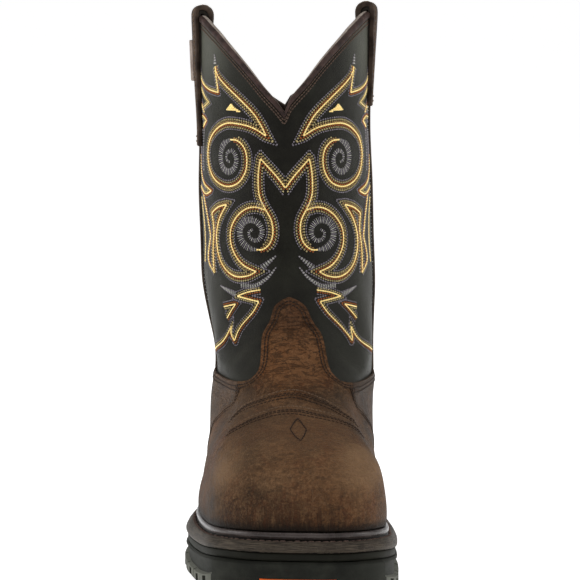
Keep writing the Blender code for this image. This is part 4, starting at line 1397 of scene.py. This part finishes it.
def sew_decoration(threads):
    """The scrolls and flames of the front and back panels, one mesh for each thread and thickness."""
    runs = {}
    for name, size, line in decoration_rows() + arrow_rows():
        if len(line) < 4:
            continue
        for run in corner_runs(line, STITCH):
            for side, rear in HALF_PANELS:
                sewn = thread_run(*on_shaft(run, side, rear, 0.12), THREAD_GAP.get(name, 0.3))
                runs.setdefault((name, size), []).append(sewn)
    for (name, size), sewn in runs.items():
        piece_name = f"shaft_thread_{name}_{round(size * 100)}"
        stitch_mesh(piece_name, sewn, size, threads[name], sides=4)


def sew_curls(threads):
    """The two curls of cross stitches on each half panel, in grey and pale thread by turns."""
    runs = {"slate": [], "pale": []}
    for shape in (FLAME_CURL, HEART_CURL):
        line = resample(chart_line(shape), CURL_PITCH)
        half = smooth(CURL_HALF, np.linspace(0, 1, len(line)))[:, None]
        reach = to_right(unit(np.gradient(line, axis=0))) * half
        for side, rear in HALF_PANELS:
            starts, outs = on_shaft(line - reach, side, rear, 0.1)
            ends = on_shaft(line + reach, side, rear, 0.1)[0]
            for first, sewn in enumerate(runs.values()):
                sewn.append((starts[first::2], ends[first::2], outs[first::2]))
    for name, sewn in runs.items():
        stitch_mesh(f"curl_thread_{name}", sewn, 0.62, threads[name])


def make_threads():
    """Threads of the decoration and the seams."""
    return {
        "gold": thread("gold thread", (1.0, 0.82, 0.36), (0.80, 0.54, 0.15), 0.38, 0.4),
        "rust": thread("rust thread", (0.34, 0.105, 0.028), (0.17, 0.05, 0.014)),
        "brown": thread("brown thread", (0.42, 0.27, 0.11), (0.17, 0.095, 0.035)),
        "olive": thread("olive thread", (0.48, 0.40, 0.205), (0.17, 0.135, 0.06)),
        "slate": thread("slate thread", (0.23, 0.205, 0.235), (0.075, 0.068, 0.08)),
        "pale": thread("pale thread", (0.42, 0.41, 0.375), (0.2, 0.195, 0.18)),
        "dark": thread("dark brown thread", (0.028, 0.016, 0.010), (0.012, 0.007, 0.0045)),
        "tan": thread("tan thread", (0.15, 0.098, 0.062), (0.06, 0.036, 0.023)),
        "black": thread("black thread", (0.016, 0.014, 0.012), (0.007, 0.006, 0.005)),
        "collar": thread("collar thread", (0.105, 0.070, 0.052), (0.05, 0.032, 0.024)),
        "pink": thread("waxed welt thread", (0.105, 0.068, 0.055), (0.03, 0.018, 0.014)),
    }


def row_beside(points, outs, distance, pitch):
    """A row of stitches at a distance from a line on the leather, on the side of its outward direction
    turned from the line's own, without loops where the line bends."""
    moved = points + np.cross(outs, unit(np.gradient(points, axis=0))) * distance
    clear = clear_of(points, moved, distance)
    both = resample(np.concatenate((moved[clear], outs[clear] * 5), axis=1), pitch * 1.05)
    return thread_run(both[:, :3], unit(both[:, 3:]))


def leather_line(angle, level, lift=0.1):
    """A line on the leather pieces at angles and sections, a little proud of them."""
    return face(angle, level, GAP + OVERLAY + lift)


def drawn_line(angle, height, lift=0.1):
    """A line on the leather pieces at angles and heights."""
    return leather_line(angle, level_at(angle, height), lift)


# Distances of double rows from the leather's top edge and from the side seams, and pitches of the stitches
TOP_ROWS = (2.3, 4.3)
SEAM_ROWS = (2.0, 4.0)
EDGE_PITCH = 2.3
ARCH_PITCH = 2.2
DIAMOND_PITCH = 2.0


def sew_vamp(threads):
    """Double rows along the vamp's peak and side seams, arched rows over the toe, and the small diamond."""
    top = leather_line(*net(np.linspace(-SEAM_ANGLE, SEAM_ANGLE, 400), np.ones(400)))
    edges = [row_beside(*top, -distance, EDGE_PITCH) for distance in TOP_ROWS]
    for side in (-1, 1):
        seam = leather_line(*net(np.full(200, side * SEAM_ANGLE), np.linspace(0.05, 0.95, 200)))
        edges += [row_beside(*seam, side * distance, EDGE_PITCH) for distance in SEAM_ROWS]
    arches, ridges, sides = [], [], []
    for arch in VAMP_ARCHES:
        angle, height, ridge = through(arch, 20).T
        line = drawn_line(angle, height)
        arches += [row_beside(*line, aside, ARCH_PITCH) for aside in (-3.6, -0.8, 0.8)]
        ridges.append(row_beside(*drawn_line(angle, ridge, 0.0), 0.0, ARCH_PITCH))
    for corners in zip(DIAMOND, DIAMOND[1:] + DIAMOND[:1]):
        sides.append(row_beside(*drawn_line(*through(corners).T), 0.0, DIAMOND_PITCH))
    for name, rows, width, thread_name in (
        ("edge", edges, 0.8, "dark"), ("arch", arches, 0.75, "dark"), ("ridge", ridges, 0.7, "tan"),
        ("diamond", sides, 0.85, "dark"),
    ):
        stitch_mesh(f"vamp_{name}_stitches", rows, width, threads[thread_name])


def sew_counter(threads):
    """Double rows under the counter's top edge and a curved pair round the heel."""
    angle = np.linspace(SEAM_ANGLE + 1, 360 - SEAM_ANGLE - 1, 900)
    angle = np.where(angle > 180, angle - 360, angle)
    rows = []
    edge, level = net(angle, np.ones(len(angle)))
    top = face(edge, level)[0][:, 2]
    for below in TOP_ROWS:
        rows.append(row_beside(*drawn_line(edge, top - below), 0.0, EDGE_PITCH))
    for share in (0.52, 0.56):
        edge, level = net(angle, share + 0.2 * np.cos(np.radians(np.abs(angle) - 180)) ** 2)
        points, outs = leather_line(edge, level)
        keep = np.abs(edge) > 112
        rows.append(row_beside(points[keep], outs[keep], 0.0, EDGE_PITCH))
    stitch_mesh("counter_stitches", rows, 0.8, threads["dark"])


def sew_collar(threads):
    """Two rows under the binding all round the collar."""
    angle = np.linspace(-180, 180, 1500)
    rows = []
    for below in (BINDING_BAND + 1.6, BINDING_BAND + 3.8):
        points, outs = face(angle, level_at(angle, collar_height(angle) - below), 0.12)
        rows.append(row_beside(points, outs, 0.0, 1.9))
    stitch_mesh("collar_stitches", rows, 0.95, threads["collar"])


def sew_straps(threads):
    """Rows along both edges of the pull straps and across their feet, and rows beside the piping."""
    pale, dark = [], []
    for side, middle in STRAP_MIDDLE.items():
        path = eased_path(strap_path(side), 300)
        path[:, 0] += 0.12
        for share in (-0.84, 0.84):
            points, outs = strip_points(middle, STRAP_HALF_ANGLE, path, np.full(len(path), share))
            pale.append(row_beside(points[:225], outs[:225], 0.0, 3.0))
        foot = path[0, 1]
        for above in (2.6, 5.4):
            spot = np.interp(foot + above, path[:60, 1], path[:60, 0])
            across = np.tile((spot, foot + above), (60, 1))
            points, outs = strip_points(middle, STRAP_HALF_ANGLE, across, np.linspace(-0.8, 0.8, 60))
            pale.append(row_beside(points, outs, 0.0, 2.6))
        height = np.linspace(smooth(SHAFT_FOOT, 90.0) + 1.5, foot - 1.0, 400)
        for aside in (-2.9, 2.9):
            angle = np.full(400, middle + aside)
            dark.append(row_beside(*face(angle, level_at(angle, height), 0.12), 0.0, 2.2))
    stitch_mesh("strap_stitches", pale, 0.9, threads["tan"])
    stitch_mesh("side_seam_stitches", dark, 0.8, threads["black"])


# Light that the pale floor gives back besides what falls on it, as a lit tabletop does
FLOOR_GLOW = 0.69
FLOOR_SIZE = 240.0
SURROUND = 0.36
# Softboxes: name, place and aim in metres, side, watts
SOFTBOXES = (
    ("left softbox", (-1.25, -0.25, 0.65), (0.0, -0.03, 0.13), 0.9, 11.0),
    ("right softbox", (1.25, -0.2, 0.7), (0.0, -0.03, 0.13), 0.9, 9.5),
    ("top softbox", (0.0, -0.25, 1.5), (0.0, -0.02, 0.1), 1.0, 8.0),
)
# The photograph's view: place in metres, angle down from level, lens in millimetres
CAMERA_PLACE = (0.00046, -1.31779, 0.3271)
CAMERA_DOWN = 7.70
CAMERA_LENS = 143.07


def make_floor():
    """A plain pale floor, large enough to reach beyond the view."""
    bpy.ops.mesh.primitive_plane_add(size=FLOOR_SIZE)
    floor = bpy.context.object
    floor.name = floor.data.name = "pale_floor"
    shader = Shader("pale floor")
    shader.finish((0.86, 0.86, 0.86), 0.9)
    shader.surface.inputs["Emission Color"].default_value = (1.0, 1.0, 1.0, 1.0)
    shader.surface.inputs["Emission Strength"].default_value = FLOOR_GLOW
    floor.data.materials.append(shader.material)


def make_studio():
    """White surround and square soft lights at both sides and above."""
    world = bpy.data.worlds.new("studio")
    world.use_nodes = True
    surround = world.node_tree.nodes["Background"]
    surround.inputs["Color"].default_value = (1.0, 1.0, 1.0, 1.0)
    surround.inputs["Strength"].default_value = SURROUND
    bpy.context.scene.world = world
    for name, place, aim, size, watts in SOFTBOXES:
        data = bpy.data.lights.new(name, "AREA")
        data.size = size
        data.energy = watts
        lamp = bpy.data.objects.new(name, data)
        lamp.location = place
        lamp.rotation_euler = (Vector(aim) - Vector(place)).to_track_quat("-Z", "Y").to_euler()
        bpy.context.scene.collection.objects.link(lamp)
    bpy.context.scene.view_settings.view_transform = "Standard"


def make_camera():
    """The photograph's view: from the front, a little above, with a long lens."""
    data = bpy.data.cameras.new("photograph")
    data.lens = CAMERA_LENS
    data.sensor_width = 36.0
    camera = bpy.data.objects.new("photograph", data)
    camera.location = CAMERA_PLACE
    camera.rotation_euler = (math.radians(90 - CAMERA_DOWN), 0.0, 0.0)
    bpy.context.scene.collection.objects.link(camera)
    bpy.context.scene.camera = camera


def finish_insole(leather):
    """The insole board keeps its solid and gets its leather."""
    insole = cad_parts["insole"]
    insole.data.materials.clear()
    insole.data.materials.append(leather)


def make_sole():
    """The welt, the midsole, and the outsole with its insert."""
    bead = plain_leather(
        "polished bead leather", (0.016, 0.010, 0.0085), (0.048, 0.036, 0.032), 9.0, 0.2, 0.8, coat=0.4,
    )
    make_welt(welt_leather(), bead)
    make_midsole(rubber("dark midsole rubber", (0.0045, 0.0045, 0.0022), (0.012, 0.012, 0.007), 12.0, 0.55))
    make_outsole(
        rubber("black moulded rubber", (0.0058, 0.0062, 0.0044), (0.024, 0.025, 0.019)),
        rubber("scuffed lug rubber", (0.060, 0.062, 0.050), (0.13, 0.132, 0.11), 6.0, 0.62),
        rubber("orange insert rubber", (0.55, 0.085, 0.014), (0.28, 0.07, 0.025), 10.0, 0.5),
    )


def make_trim():
    """The collar's binding, and the straps, their tab and the side piping."""
    make_binding(
        # The fold's pale leather is a painted highlight, and the bands' dark brown carries painted shade
        plain_leather("binding leather painted pale as its highlight", (0.15, 0.12, 0.10), (0.30, 0.26, 0.225), 5.0, 0.5),
        plain_leather("dark brown binding leather with painted shade", (0.014, 0.007, 0.0055), (0.048, 0.027, 0.022), 4.0, 0.45),
    )
    make_straps(
        plain_leather("brown strap leather", (0.010, 0.0052, 0.0032), (0.056, 0.037, 0.026), 9.0, 0.52, 1.1),
        plain_leather("piping leather", (0.035, 0.024, 0.016), (0.085, 0.065, 0.05), 6.0, 0.5),
        plain_leather("dark strap backing", (0.010, 0.008, 0.006), (0.022, 0.017, 0.013), 6.0, 0.6),
        plain_leather("rubbed tab leather", (0.16, 0.12, 0.10), (0.27, 0.22, 0.19), 8.0, 0.6),
    )


def sew():
    """All the stitching of the boot."""
    threads = make_threads()
    for seam in (sew_decoration, sew_curls, sew_vamp, sew_counter, sew_collar, sew_straps):
        seam(threads)
    sew_welt(threads["pink"])


lining = lining_leather()
make_leathers(lining)
make_sole()
make_trim()
finish_insole(lining)
sew()
make_floor()
make_studio()
make_camera()
